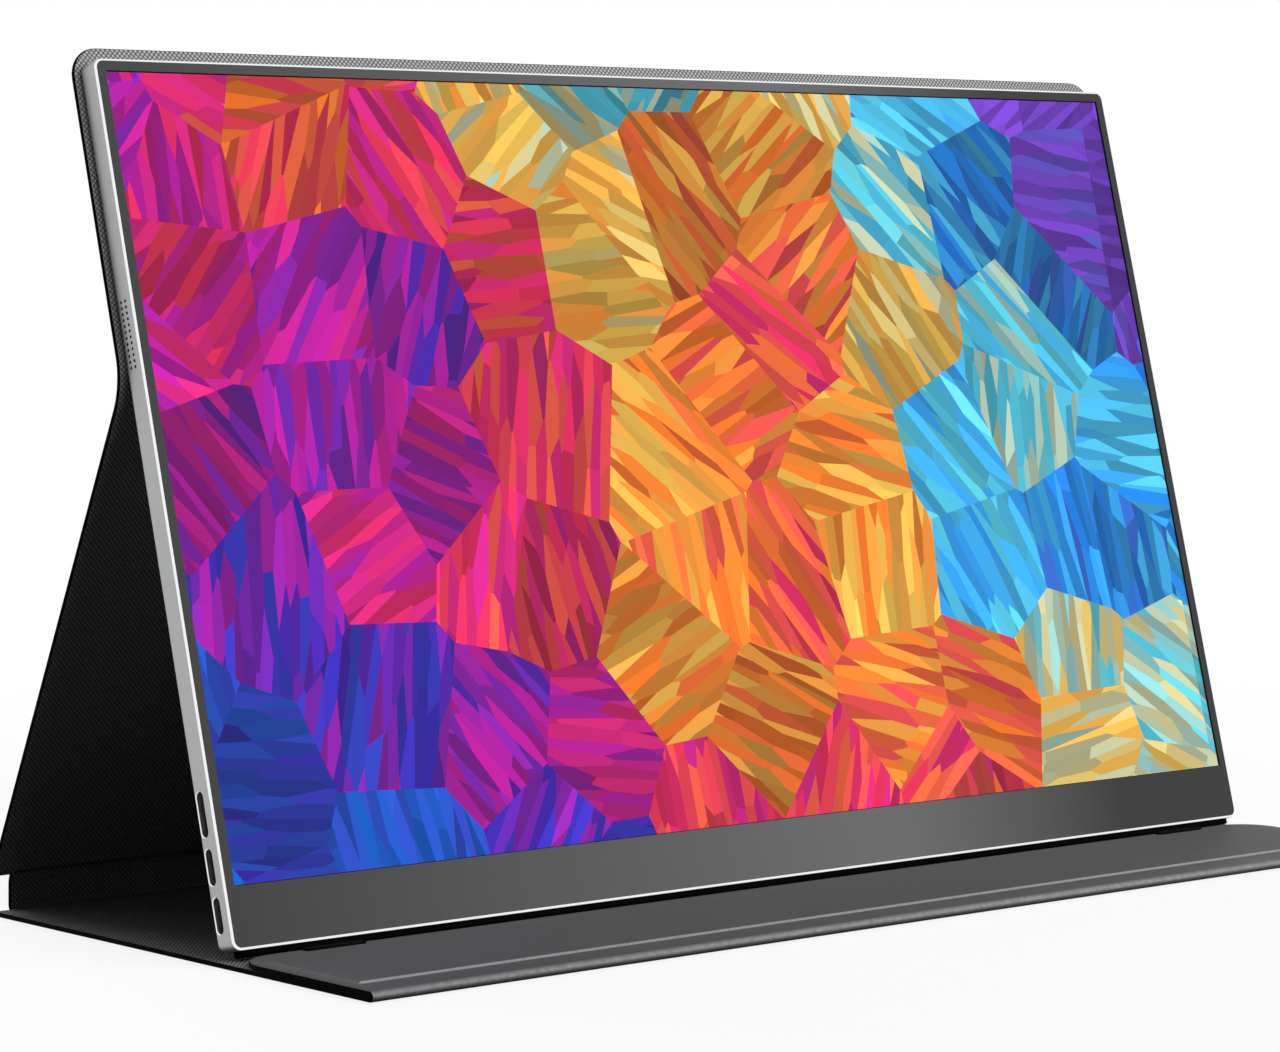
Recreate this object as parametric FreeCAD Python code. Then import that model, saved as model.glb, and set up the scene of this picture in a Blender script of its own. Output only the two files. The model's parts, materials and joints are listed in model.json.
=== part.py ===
import FreeCAD, Part
import math
import os

# A slim portable monitor in a folio cover that folds into its stand.
# The cover is drawn laid open flat with its lining up, and the monitor on its back on the rear panel:
# X runs across, Y from the flap over base, spine and prop to the rear panel, Z up, zero on the table.
# The folds are then turned about their hinge lines into the standing pose, facing -Y.
# Inside the monitor, X runs across, Y up from its bottom edge and Z from its back to its front.
# Lengths are in millimetres and angles in degrees.

# Screen and monitor case
screen_width = 344.16
screen_height = 193.59
bezel_side = 3.3
bezel_top = 3.15
chin_height = 15.0
monitor_thickness = 6.2
case_corner_radius = 2.5
case_rear_radius = 0.8
side_wall = 0.9
rear_wall = 0.55
rim_chamfer = 0.5
rim_lip = 0.1

# Rubber strip under the bottom edge that the monitor stands on
strip_height = 1.5
strip_width = 4.6
strip_back = 0.9
strip_edge_radius = 0.4

# Front bezel and the layers of the display, front to back
bezel_recess = 0.05
bezel_thickness = 0.4
bezel_clearance = 0.08
bezel_lip = 0.2
tape_thickness = 0.1
tape_setback = 0.4
cell_thickness = 0.8
films_thickness = 0.3
guide_thickness = 0.45
reflector_thickness = 0.15
plate_thickness = 0.3
cell_margin = 1.3
cell_ledge = 4.5
film_margin = 0.7
frame_wall = 0.5
layer_clearance = 0.1
led_height = 1.2
led_clearance = 0.2
plate_tab_margin = 10.0
plate_tab_bottom = 2.0

# Foam strips between the display and the back of the case
foam_width = 4.0
foam_setback = 3.0
foam_board_gap = 4.0
foam_speaker_gap_low = 5.75
foam_speaker_gap_high = 8.25
foam_top_inset = 23.88

# Driver board under the display, and its flat cable
driver_inset = 72.08
driver_bottom = 2.6
driver_frame_gap = 0.6
driver_thickness = 0.5
driver_chip_width = 14.0
driver_chip_height = 2.4
driver_chip_rise = 0.5
driver_chip_count = 6
flat_cable_thickness = 0.2
flat_cable_width = 14.0
flat_cable_inset = 8.82
flat_cable_overlap = 2.2

# Main board at the lower left, with its chip, shield and screws
board_thickness = 0.8
main_board_width = 86.0
main_board_bottom = 3.0
main_board_top = 42.0
board_edge_gap = 0.3
chip_size = 16.0
chip_height = 0.7
shield_width = 44.0
shield_depth = 24.0
shield_chip_gap = 0.15
shield_sheet = 0.15
shield_centre_from_edge = 48.0
screw_diameter = 1.6
screw_head_diameter = 3.0
screw_head_height = 0.5
screw_hole_clearance = 0.1
screw_inset = 4.0
boss_wall = 0.9
boss_floor = 0.25

# Ports on the left side, as heights above the bottom edge
usb_lower_height = 8.7
usb_upper_height = 20.0
hdmi_height = 32.3
usb_opening_length = 8.4
usb_opening_height = 2.6
usb_depth = 7.3
hdmi_opening_length = 10.6
hdmi_opening_height = 2.6
hdmi_depth = 7.6
hdmi_corner_cut = 0.9
port_sheet = 0.2
port_back_wall = 0.6
port_wall_gap = 0.1
port_rim_chamfer = 0.2
tongue_thickness = 0.7
tongue_side_gap = 0.85
tongue_setback = 0.8
notch_clearance = 0.1

# Speakers and their grilles
grille_height = 145.75
grille_rows = 12
grille_pitch = 1.43
grille_columns = 2
grille_column_gap = 1.7
grille_lift = 0.7
grille_hole = 0.8
speaker_length = 48.0
speaker_width = 12.0
speaker_thickness = 2.9
speaker_corner = 2.0
speaker_mouth_depth = 3.0
speaker_mouth_wall = 0.5
mesh_thickness = 0.2
mesh_margin = 0.8
lead_diameter = 0.8
lead_bend = 8.0
lead_foam_gap = 1.0
lead_cross_gap = 8.0
lead_drop_from_edge = 75.0
lead_board_lap = 2.0

# Controls and headphone socket on the right side, as heights above the bottom edge
jack_clearance = 0.2
jack_bore = 3.6
jack_wall_hole = 3.9
jack_housing_height = 4.6
jack_housing_width = 5.2
jack_length = 12.0
jack_back_wall = 0.8
power_height = 36.0
power_length = 8.0
power_travel = 0.4
button_thickness = 1.6
button_proud = 0.2
button_clearance = 0.1
button_flange = 0.3
button_flange_thickness = 0.5
rocker_height = 22.0
rocker_length = 12.0
rocker_end_clearance = 0.25
rocker_lug_length = 3.2
rocker_lug_reach = 1.4
rocker_pin_diameter = 1.0
rocker_pin_clearance = 0.05
rocker_pin_back = 1.1
switch_length = 4.2
switch_width = 2.6
switch_height = 1.4
switch_spread = 4.0
plunger_diameter = 1.0
plunger_clearance = 0.1
plunger_reach = 0.9
button_board_width = 15.0
button_board_bottom = 3.0
button_board_top = 44.0
button_cable_width = 5.0
button_cable_drop = 13.0

# Cover panels: outer skin, board and lining
panel_thickness = 1.5
skin_thickness = 0.45
lining_thickness = 0.35
lining_inset = 0.6
emboss_step = 0.3
emboss_slope = 0.6
board_clearance = 0.05
edge_border = 4.0
fold_border = 1.2
spine_border = 0.7
cover_side_border = 1.8
cover_top_border = 4.4
cover_corner_radius = 7.5
flap_corner_radius = 11.0
hinge_corner_radius = 1.5
base_depth = 150.8
flap_emboss_setback = 10.0
spine_notch = 5.5

# Folds between the panels
hinge_setback = 1.6
crease_setback = 7.0
nose_setback = 4.0
nose_gap = 0.2
fold_gap = 0.1

# Stand: place of the crease on the monitor, its lean and the gaps where pieces rest
crease_height = 134.5
monitor_lean = 15.3
monitor_gap = 0.15
rest_gap = 0.2
flap_clearance = 0.7

# Magnets and their steel keepers
magnet_length = 30.0
magnet_width = 10.0
magnet_count = 5
magnet_height = 30.0
magnet_clearance = 0.1
keeper_margin = 2.0
keeper_thickness = 0.5
keeper_speaker_gap = 17.08
flap_magnet_length = 24.0
flap_magnet_width = 8.0
flap_magnet_end_gap = 40.53
flap_magnet_count = 3
flap_magnet_share = 0.2526

# Raised pads at the free edge of the flap
pad_length = 18.0
pad_width = 2.4
pad_height = 0.6
pad_inset = 29.18
pad_setback = 0.3

# One overrun for all cuts, and how close two points of an outline count as one
cut_overrun = 1.0
same_point = 1e-6

X_AXIS = FreeCAD.Vector(1, 0, 0)
ORIGIN = FreeCAD.Vector(0, 0, 0)
CYCLE_AXIS = FreeCAD.Vector(1, 1, 1)

# Monitor sizes that follow
monitor_width = screen_width + 2 * bezel_side
monitor_height = chin_height + screen_height + bezel_top
half_monitor = monitor_width / 2
half_screen = screen_width / 2
half_inside = half_monitor - side_wall
screen_top = chin_height + screen_height
rebate_inset = rim_chamfer + rim_lip
bezel_front = monitor_thickness - bezel_recess
bezel_back = bezel_front - bezel_thickness
cell_front = bezel_back - tape_thickness
cell_back = cell_front - cell_thickness
films_back = cell_back - films_thickness
guide_back = films_back - guide_thickness
reflector_back = guide_back - reflector_thickness
plate_back = reflector_back - plate_thickness
cell_half = half_screen + cell_margin
cell_bottom = chin_height - cell_ledge
cell_top = screen_top + cell_margin
film_half = half_screen + film_margin
film_bottom = chin_height - film_margin
film_top = screen_top + film_margin
frame_half = cell_half + frame_wall
frame_bottom = cell_bottom - frame_wall
frame_top = cell_top + frame_wall
led_top = film_bottom - led_clearance
led_bottom = led_top - led_height
port_line = (rear_wall + plate_back) / 2
board_back = port_line - board_thickness / 2
board_front = port_line + board_thickness / 2
board_left = -half_inside + board_edge_gap
board_right = board_left + main_board_width
driver_width = screen_width - 2 * driver_inset
driver_top = frame_bottom - driver_frame_gap
flat_cable_centre = board_right - flat_cable_inset
speaker_face = half_inside - 2 * mesh_thickness
speaker_inner = speaker_face - speaker_width
speaker_bottom = grille_height - speaker_length / 2
speaker_top = grille_height + speaker_length / 2
keeper_reach = magnet_length / 2 + keeper_margin
magnet_row_half = speaker_inner - keeper_speaker_gap - keeper_reach
magnet_spacing = 2 * magnet_row_half / (magnet_count - 1)
shield_centre = board_left + shield_centre_from_edge
shield_height = chip_height + shield_chip_gap + shield_sheet
boards_top = max(main_board_top, button_board_top)
main_board_middle = (main_board_bottom + main_board_top) / 2
usb_heights = (usb_lower_height, usb_upper_height)
jack_line = (rear_wall + bezel_back) / 2
jack_height = frame_bottom - jack_clearance - jack_housing_width / 2
key_inner = half_inside - button_flange_thickness
plunger_tip = key_inner - power_travel - plunger_clearance
switch_right = plunger_tip - plunger_reach
switch_left = switch_right - switch_width
switch_heights = (power_height, rocker_height - switch_spread, rocker_height + switch_spread)
rocker_axis = half_inside - rocker_pin_back
button_board_right = plunger_tip - board_edge_gap
button_board_left = button_board_right - button_board_width
pin_foot = rear_wall / 2
lead_line = rear_wall + lead_diameter / 2
foam_outer = frame_half - foam_setback
lead_place = foam_outer - foam_width - lead_foam_gap - lead_diameter / 2

# Cover sizes that follow
half_cover = half_monitor + cover_side_border
half_spine = half_cover - spine_notch
hinge_level = panel_thickness / 2
board_inset = emboss_slope + board_clearance
flap_magnet_row_half = half_cover - edge_border - board_inset - flap_magnet_end_gap - flap_magnet_length / 2
flap_magnet_spacing = 2 * flap_magnet_row_half / (flap_magnet_count - 1)
pad_place = half_cover - pad_inset
board_top = panel_thickness - lining_thickness
spine_height = monitor_thickness + panel_thickness + 2 * monitor_gap
prop_length = crease_height + monitor_gap + hinge_level
spine_prop_line = spine_height
crease_line = spine_height + prop_length
cover_end = crease_line + monitor_height - crease_height + cover_top_border
nose_level = panel_thickness + nose_gap / 2
nose_radius = nose_gap / 2 + panel_thickness - emboss_step
nose_line = nose_radius - base_depth
monitor_foot_line = crease_line - crease_height
monitor_back_level = panel_thickness + monitor_gap

# The standing pose: the monitor's bottom edge rests on the base, which sets the lean of the prop
lean_sine = math.sin(math.radians(monitor_lean))
lean_cosine = math.cos(math.radians(monitor_lean))
strip_drop = (strip_height - strip_edge_radius) * lean_cosine - (strip_back + strip_edge_radius) * lean_sine
foot_level = panel_thickness + rest_gap + strip_drop + strip_edge_radius
crease_offset = monitor_gap + hinge_level
crease_level = foot_level + crease_height * lean_cosine - crease_offset * lean_sine
prop_rise = crease_level - hinge_level - spine_height
prop_angle = math.degrees(math.asin(prop_rise / prop_length))
prop_run = math.sqrt(prop_length ** 2 - prop_rise ** 2)
foot_place = -prop_run - crease_height * lean_sine - crease_offset * lean_cosine
flap_edge_place = foot_place - monitor_thickness * lean_cosine - flap_clearance
flap_length = flap_edge_place - nose_line
spine_fold = 90.0
prop_fold = 90.0 - prop_angle
crease_fold_angle = prop_angle - monitor_lean - 90.0
flap_turn = 180.0

# The origin lies under the middle of the cover's depth
cover_front = -base_depth
cover_back = hinge_level
depth_shift = -(cover_front + cover_back) / 2


def outline(x0, x1, y0, y1, z, low_radius=0, high_radius=0):
    """Closed wire round a rectangle, with its low-Y and high-Y corners rounded."""
    corners = (
        (x0 + low_radius, y0 + low_radius, low_radius, 180),
        (x1 - low_radius, y0 + low_radius, low_radius, 270),
        (x1 - high_radius, y1 - high_radius, high_radius, 0),
        (x0 + high_radius, y1 - high_radius, high_radius, 90),
    )
    ends = []
    edges = []
    for x, y, radius, start in corners:
        points = []
        for turn in (0, 45, 90):
            angle = math.radians(start + turn)
            points.append(FreeCAD.Vector(x + radius * math.cos(angle), y + radius * math.sin(angle), z))
        if radius > 0:
            edges.append(Part.Arc(*points).toShape())
        ends.append((points[0], points[-1]))
    for this, following in zip(ends, ends[1:] + ends[:1]):
        if not this[1].isEqual(following[0], same_point):
            edges.append(Part.LineSegment(this[1], following[0]).toShape())
    return Part.Wire(Part.__sortEdges__(edges))


def plate(x0, x1, y0, y1, z0, z1, low_radius=0, high_radius=0):
    """Flat plate between two levels, with rounded corners."""
    face = Part.Face(outline(x0, x1, y0, y1, z0, low_radius, high_radius))
    return face.extrude(FreeCAD.Vector(0, 0, z1 - z0))


def frame_plate(outer, inner, z0, z1):
    """Flat frame between two rectangles, each given as x0, x1, y0, y1, low radius, high radius."""
    ring = plate(*outer[:4], z0, z1, *outer[4:])
    return ring.cut(plate(*inner[:4], z0 - cut_overrun, z1 + cut_overrun, *inner[4:]))


def taper(low_wire, high_wire):
    """Solid between two like wires at different levels."""
    return Part.makeLoft([low_wire, high_wire], True, True)


def to_side(shape):
    """Turn a flat plate so that its X runs up the monitor, its Y to the front and its Z to the right."""
    return shape.rotated(ORIGIN, CYCLE_AXIS, 120)


def side_plate(y0, y1, z0, z1, x0, x1, radius=0):
    """Plate square to the monitor's side, from x0 to x1."""
    return to_side(plate(y0, y1, z0, z1, x0, x1, radius, radius))


def rod(diameter, start, end):
    """Round rod between two points."""
    line = end - start
    return Part.makeCylinder(diameter / 2, line.Length, start, line)


def tube_route(points, diameter, bend):
    """Round lead through points, with an arc of one radius at each square corner."""
    edges = []
    here = points[0]
    for before, corner, after in zip(points, points[1:], points[2:]):
        back = (before - corner).normalize()
        ahead = (after - corner).normalize()
        start = corner + back * bend
        end = corner + ahead * bend
        middle = corner + (back + ahead) * (bend * (1 - math.sqrt(0.5)))
        edges.append(Part.LineSegment(here, start).toShape())
        edges.append(Part.Arc(start, middle, end).toShape())
        here = end
    edges.append(Part.LineSegment(here, points[-1]).toShape())
    path = Part.Wire(edges)
    circle = Part.Circle(points[0], points[1] - points[0], diameter / 2)
    return path.makePipeShell([Part.Wire(circle.toShape())], True, False)


def sector(y, z, radius, start, sweep, half_length):
    """Solid pie slice about a line along X."""
    centre = FreeCAD.Vector(-half_length, y, z)
    points = []
    for share in (0, 0.5, 1):
        angle = math.radians(start + sweep * share)
        points.append(centre + FreeCAD.Vector(0, radius * math.cos(angle), radius * math.sin(angle)))
    arc = Part.Arc(*points).toShape()
    sides = [Part.LineSegment(centre, points[0]).toShape(), Part.LineSegment(points[-1], centre).toShape()]
    face = Part.Face(Part.Wire(Part.__sortEdges__([sides[0], arc, sides[1]])))
    return face.extrude(FreeCAD.Vector(2 * half_length, 0, 0))


def cover_panel(y0, y1, half_width, radii=(0, 0), borders=(fold_border, fold_border), board_holes=()):
    """Skin, board and lining of one panel, lying open from y0 to y1 with its lining up.

    At an end with round corners the lining is let into the skin, and at a square end it runs to the fold.
    """
    low_inset, high_inset = (lining_inset if radius > 0 else 0 for radius in radii)
    low_border, high_border = borders
    body = plate(-half_width, half_width, y0, y1, emboss_step, panel_thickness, *radii)
    field = (half_width - edge_border, y0 + low_border, y1 - high_border)
    raised = field_solid(field, radii)
    pocket = board_plate(field, radii, emboss_slope, panel_thickness)
    board = board_plate(field, radii, board_inset, board_top)
    recess_radii = [max(radius - lining_inset, 0) for radius in radii]
    lining = plate(lining_inset - half_width, half_width - lining_inset, y0 + low_inset, y1 - high_inset,
                   board_top, panel_thickness, *recess_radii)
    skin = body.fuse(raised).cut(pocket).cut(lining)
    for hole in board_holes:
        board = board.cut(hole)
    return skin.removeSplitter(), board, lining


def field_radii(radii):
    """Corner radii of the embossed field inside the border."""
    return [max(radius - edge_border, 0) for radius in radii]


def field_solid(field, radii):
    """Raised field of the skin over its board, with sloped sides."""
    half, low, high = field
    wide = outline(-half, half, low, high, emboss_step, *field_radii(radii))
    narrow = outline(emboss_slope - half, half - emboss_slope, low + emboss_slope, high - emboss_slope, 0,
                     *field_radii(radii))
    return taper(narrow, wide)


def board_plate(field, radii, inset, top):
    """Plate of the board's outline, inset from the embossed field."""
    half, low, high = field
    return plate(inset - half, half - inset, low + inset, high - inset, skin_thickness, top,
                 *field_radii(radii))


def fold_web(line, half_length, reach, angle):
    """Flexible strip between two panels, with a round outer bend on its hinge line."""
    low = plate(-half_length, half_length, line - reach, line, emboss_step, panel_thickness)
    high = plate(-half_length, half_length, line, line + reach, emboss_step, panel_thickness)
    pivot = FreeCAD.Vector(0, line, hinge_level)
    high = high.rotated(pivot, X_AXIS, angle)
    if angle > 0:
        bend = sector(line, hinge_level, hinge_level - emboss_step, -90, angle, half_length)
    else:
        bend = sector(line, hinge_level, panel_thickness - hinge_level, 90 + angle, -angle, half_length)
    return low.fuse(high).fuse(bend).removeSplitter()


def nose_web():
    """Strip that wraps round the front edge, from the base to the folded flap."""
    reach = nose_setback - fold_gap
    low = plate(-half_cover, half_cover, nose_line, nose_line + reach, emboss_step, panel_thickness)
    high = low.rotated(FreeCAD.Vector(0, nose_line, nose_level), X_AXIS, 180)
    high = high.mirror(FreeCAD.Vector(0, nose_line, nose_level), FreeCAD.Vector(0, 1, 0))
    outer = sector(nose_line, nose_level, nose_radius, 90, 180, half_cover)
    inner = sector(nose_line, nose_level, nose_gap / 2, 90, 180, half_cover + cut_overrun)
    return low.fuse(high).fuse(outer.cut(inner)).removeSplitter()


def row_places(count, spacing):
    """Places of a centred row."""
    return [(index - (count - 1) / 2) * spacing for index in range(count)]


def magnets(row, middle, length, width, grow=0):
    """Row of flat magnets let into a board, or their holes when grown by a clearance."""
    solids = []
    for x in row:
        solids.append(plate(x - length / 2 - grow, x + length / 2 + grow, middle - width / 2 - grow,
                            middle + width / 2 + grow, skin_thickness, board_top))
    return solids


def base_panel():
    return cover_panel(nose_line + nose_setback, -hinge_setback, half_cover, radii=(0, hinge_corner_radius))


def spine_panel():
    return cover_panel(hinge_setback, spine_height - hinge_setback, half_spine,
                       borders=(spine_border, spine_border))


def prop_panel():
    return cover_panel(spine_prop_line + hinge_setback, crease_line - crease_setback, half_cover,
                       radii=(hinge_corner_radius, 0))


def rear_panel():
    """Panel behind the upper part of the monitor, with magnets in its board."""
    row = row_places(magnet_count, magnet_spacing)
    middle = crease_line + magnet_height
    holes = magnets(row, middle, magnet_length, magnet_width, magnet_clearance)
    pieces = cover_panel(crease_line + crease_setback, cover_end, half_cover, radii=(0, cover_corner_radius),
                         borders=(fold_border, edge_border), board_holes=holes)
    return pieces, Part.makeCompound(magnets(row, middle, magnet_length, magnet_width))


def flap_panel():
    """Flap laid out forward of the nose, with magnets near its free edge and two pads on its skin."""
    free_edge = nose_line - flap_length
    row = row_places(flap_magnet_count, flap_magnet_spacing)
    front_border = flap_emboss_setback - nose_radius - nose_setback
    board_start = free_edge + edge_border + board_inset
    room = nose_line - nose_setback - front_border - board_inset - board_start - flap_magnet_width
    middle = board_start + room * flap_magnet_share + flap_magnet_width / 2
    holes = magnets(row, middle, flap_magnet_length, flap_magnet_width, magnet_clearance)
    pieces = cover_panel(free_edge, nose_line - nose_setback, half_cover, radii=(flap_corner_radius, 0),
                         borders=(edge_border, front_border), board_holes=holes)
    pads = []
    for place in (-pad_place, pad_place):
        start = free_edge + pad_setback
        pads.append(plate(place - pad_length / 2, place + pad_length / 2, start, start + pad_width,
                          emboss_step - pad_height, emboss_step, pad_width / 2, pad_width / 2))
    return pieces, Part.makeCompound(magnets(row, middle, flap_magnet_length, flap_magnet_width)), \
        Part.makeCompound(pads)


def edges_at(shape, level):
    """Edges of a shape that lie flat at one level."""
    return [edge for edge in shape.Edges if edge.BoundBox.ZLength < layer_clearance
            and abs(edge.BoundBox.ZMin - level) < layer_clearance]


def stadium_cut(y, z, length, height, wall_face, inner_face):
    """Slot through a side wall, with a chamfered rim on its outer face."""
    slot = (y - length / 2, y + length / 2, z - height / 2, z + height / 2)
    radius = height / 2
    outward = math.copysign(1, wall_face)
    rim = [slot[0] - port_rim_chamfer, slot[1] + port_rim_chamfer,
           slot[2] - port_rim_chamfer, slot[3] + port_rim_chamfer]
    inner_end = inner_face - outward * cut_overrun
    outer_end = wall_face + outward * cut_overrun
    through = side_plate(*slot, min(inner_end, outer_end), max(inner_end, outer_end), radius)
    rim_wire = outline(*rim, wall_face, radius + port_rim_chamfer, radius + port_rim_chamfer)
    slot_wire = outline(*slot, wall_face - outward * port_rim_chamfer, radius, radius)
    return through.fuse(to_side(taper(rim_wire, slot_wire)))


def grille_cuts(side):
    """Columns of speaker holes through one side wall."""
    cuts = []
    start = side * (half_inside - cut_overrun)
    end = side * (half_monitor + cut_overrun)
    for rise in row_places(grille_columns, grille_column_gap):
        for step in row_places(grille_rows, grille_pitch):
            y = grille_height + step
            z = port_line + grille_lift + rise
            cuts.append(rod(grille_hole, FreeCAD.Vector(start, y, z), FreeCAD.Vector(end, y, z)))
    return cuts


def screw_places():
    """Screws of the main board, then of the button board."""
    low = main_board_bottom + screw_inset
    high = main_board_top - screw_inset
    left = board_left + usb_depth + screw_inset
    right = board_right - screw_inset
    places = [(left, low), (left, high), (right, low), (right, high)]
    button_x = button_board_left + screw_inset
    places.append((button_x, button_board_bottom + 2 * jack_housing_width))
    places.append((button_x, button_board_top - screw_inset))
    return places


def rear_shell():
    """Aluminium tray: back, side walls with polished rim and a seat for the bezel, slots, grilles and bosses."""
    shell = plate(-half_monitor, half_monitor, 0, monitor_height, 0, monitor_thickness,
                  case_corner_radius, case_corner_radius)
    shell = shell.makeFillet(case_rear_radius, edges_at(shell, 0))
    shell = shell.makeChamfer(rim_chamfer, edges_at(shell, monitor_thickness))
    inner_radius = case_corner_radius - side_wall
    shell = shell.cut(plate(-half_inside, half_inside, side_wall, monitor_height - side_wall, rear_wall,
                            monitor_thickness + cut_overrun, inner_radius, inner_radius))
    half_rebate = half_monitor - rebate_inset
    rebate_radius = case_corner_radius - rebate_inset
    shell = shell.cut(plate(-half_rebate, half_rebate, rebate_inset, monitor_height - rebate_inset, bezel_back,
                            monitor_thickness + cut_overrun, rebate_radius, rebate_radius))
    boss_diameter = screw_diameter + 2 * boss_wall
    for x, y in screw_places():
        foot = FreeCAD.Vector(x, y, rear_wall / 2)
        shell = shell.fuse(rod(boss_diameter, foot, FreeCAD.Vector(x, y, board_back)))
    pin_boss = rocker_pin_diameter + 2 * boss_wall
    pin_top = port_line - button_thickness / 2 - 2 * button_clearance
    shell = shell.fuse(rod(pin_boss, FreeCAD.Vector(rocker_axis, rocker_height, pin_foot),
                           FreeCAD.Vector(rocker_axis, rocker_height, pin_top)))
    cuts = grille_cuts(-1) + grille_cuts(1)
    for x, y in screw_places():
        start = FreeCAD.Vector(x, y, rear_wall + boss_floor)
        cuts.append(rod(screw_diameter, start, FreeCAD.Vector(x, y, board_back + cut_overrun)))
    cuts.append(rod(rocker_pin_diameter, FreeCAD.Vector(rocker_axis, rocker_height, pin_foot),
                    FreeCAD.Vector(rocker_axis, rocker_height, pin_top + cut_overrun)))
    for y in usb_heights:
        cuts.append(stadium_cut(y, port_line, usb_opening_length, usb_opening_height,
                                -half_monitor, -half_inside))
    cuts.append(stadium_cut(hdmi_height, port_line, hdmi_opening_length, hdmi_opening_height,
                            -half_monitor, -half_inside))
    slot_height = button_thickness + 2 * button_clearance
    cuts.append(stadium_cut(power_height, port_line, power_length + 2 * button_clearance, slot_height,
                            half_monitor, half_inside))
    cuts.append(stadium_cut(rocker_height, port_line, rocker_length + 2 * rocker_end_clearance, slot_height,
                            half_monitor, half_inside))
    cuts.append(rod(jack_wall_hole, FreeCAD.Vector(half_inside - cut_overrun, jack_height, jack_line),
                    FreeCAD.Vector(half_monitor + cut_overrun, jack_height, jack_line)))
    return shell.cut(Part.makeCompound(cuts))


def foot_strip():
    """Rubber strip with round ends under the bottom edge, its lower edges rounded."""
    half = half_monitor - case_corner_radius
    strip = plate(-half, half, strip_back, strip_back + strip_width, 0, strip_height,
                  strip_width / 2, strip_width / 2)
    strip = strip.makeFillet(strip_edge_radius, edges_at(strip, strip_height))
    return strip.rotated(ORIGIN, X_AXIS, 90)


def front_bezel():
    """Dark frame round the screen, on its seat in the tray's walls."""
    edge = rebate_inset + bezel_clearance
    half = half_monitor - edge
    radius = case_corner_radius - edge
    outer = (-half, half, edge, monitor_height - edge, radius, radius)
    lip = bezel_lip
    inner = (-half_screen - lip, half_screen + lip, chin_height - lip, screen_top + lip, 0, 0)
    return frame_plate(outer, inner, bezel_back, bezel_front)


def bezel_tape():
    outer = (-cell_half, cell_half, cell_bottom, cell_top, 0, 0)
    away = tape_setback
    inner = (-half_screen - away, half_screen + away, chin_height - away, screen_top + away, 0, 0)
    return frame_plate(outer, inner, cell_front, bezel_back)


def film_plate(low, z0, z1):
    """One sheet of the display's backlight."""
    return plate(-film_half, film_half, low, film_top, z0, z1)


def led_bar():
    return plate(-film_half, film_half, led_bottom, led_top, reflector_back, films_back)


def panel_frame():
    """Moulded frame round the backlight sheets and the row of lights."""
    outer = (-frame_half, frame_half, frame_bottom, frame_top, 0, 0)
    inside = film_half + layer_clearance
    inner = (-inside, inside, led_bottom - layer_clearance, film_top + layer_clearance, 0, 0)
    return frame_plate(outer, inner, reflector_back, cell_back)


def panel_back_plate():
    """Metal back of the display, with a tab under the driver board."""
    back = plate(-frame_half, frame_half, frame_bottom, frame_top, plate_back, reflector_back)
    half_tab = driver_width / 2 + plate_tab_margin
    tab = plate(-half_tab, half_tab, plate_tab_bottom, frame_bottom, plate_back, reflector_back)
    return back.fuse(tab).removeSplitter()


def panel_foam():
    """Strips that hold the display off the back of the case."""
    strips = []
    high_end = frame_top - foam_setback
    low_start = boards_top + foam_board_gap
    low_end = speaker_bottom - foam_speaker_gap_low
    high_start = speaker_top + foam_speaker_gap_high
    for side in (-1, 1):
        edges = sorted((side * foam_outer, side * (foam_outer - foam_width)))
        strips.append(plate(*edges, low_start, low_end, rear_wall, plate_back))
        strips.append(plate(*edges, high_start, high_end, rear_wall, plate_back))
    half = frame_half - foam_top_inset
    strips.append(plate(-half, half, high_end - foam_width, high_end, rear_wall, plate_back))
    return Part.makeCompound(strips)


def panel_driver_board():
    """Narrow board with the column drivers, on the display's tab."""
    half = driver_width / 2
    top = reflector_back + driver_thickness
    board = plate(-half, half, driver_bottom, driver_top, reflector_back, top)
    middle = (driver_bottom + driver_top) / 2
    for x in row_places(driver_chip_count, driver_width / driver_chip_count):
        chip = plate(x - driver_chip_width / 2, x + driver_chip_width / 2, middle - driver_chip_height / 2,
                     middle + driver_chip_height / 2, top, top + driver_chip_rise)
        board = board.fuse(chip)
    return board.removeSplitter()


def panel_cable():
    """Flat cable from the driver board, round the lower edge of the tab, to the main board."""
    front = reflector_back + driver_thickness
    inside = plate_tab_bottom - layer_clearance
    outside = inside - flat_cable_thickness
    front_end = driver_bottom + flat_cable_overlap
    back_end = main_board_bottom + flat_cable_overlap
    profile = [(front_end, front), (inside, front), (inside, board_front + flat_cable_thickness),
               (back_end, board_front + flat_cable_thickness), (back_end, board_front),
               (outside, board_front), (outside, front + flat_cable_thickness),
               (front_end, front + flat_cable_thickness)]
    points = [FreeCAD.Vector(flat_cable_centre - flat_cable_width / 2, y, z) for y, z in profile]
    face = Part.Face(Part.makePolygon(points + points[:1]))
    return face.extrude(FreeCAD.Vector(flat_cable_width, 0, 0))


def notch(y, length, x0, x1):
    """Cut in a board's edge for a part that is sunk into it."""
    reach = length / 2 + notch_clearance
    return plate(x0, x1, y - reach, y + reach, board_back - cut_overrun, board_front + cut_overrun)


def screw_holes(places):
    """Holes of the board screws."""
    diameter = screw_diameter + 2 * screw_hole_clearance
    return [rod(diameter, FreeCAD.Vector(x, y, board_back - cut_overrun),
                FreeCAD.Vector(x, y, board_front + cut_overrun)) for x, y in places]


def port_inner_end(depth):
    """Where a port that starts behind the left wall ends."""
    return port_wall_gap - half_inside + depth


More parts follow.
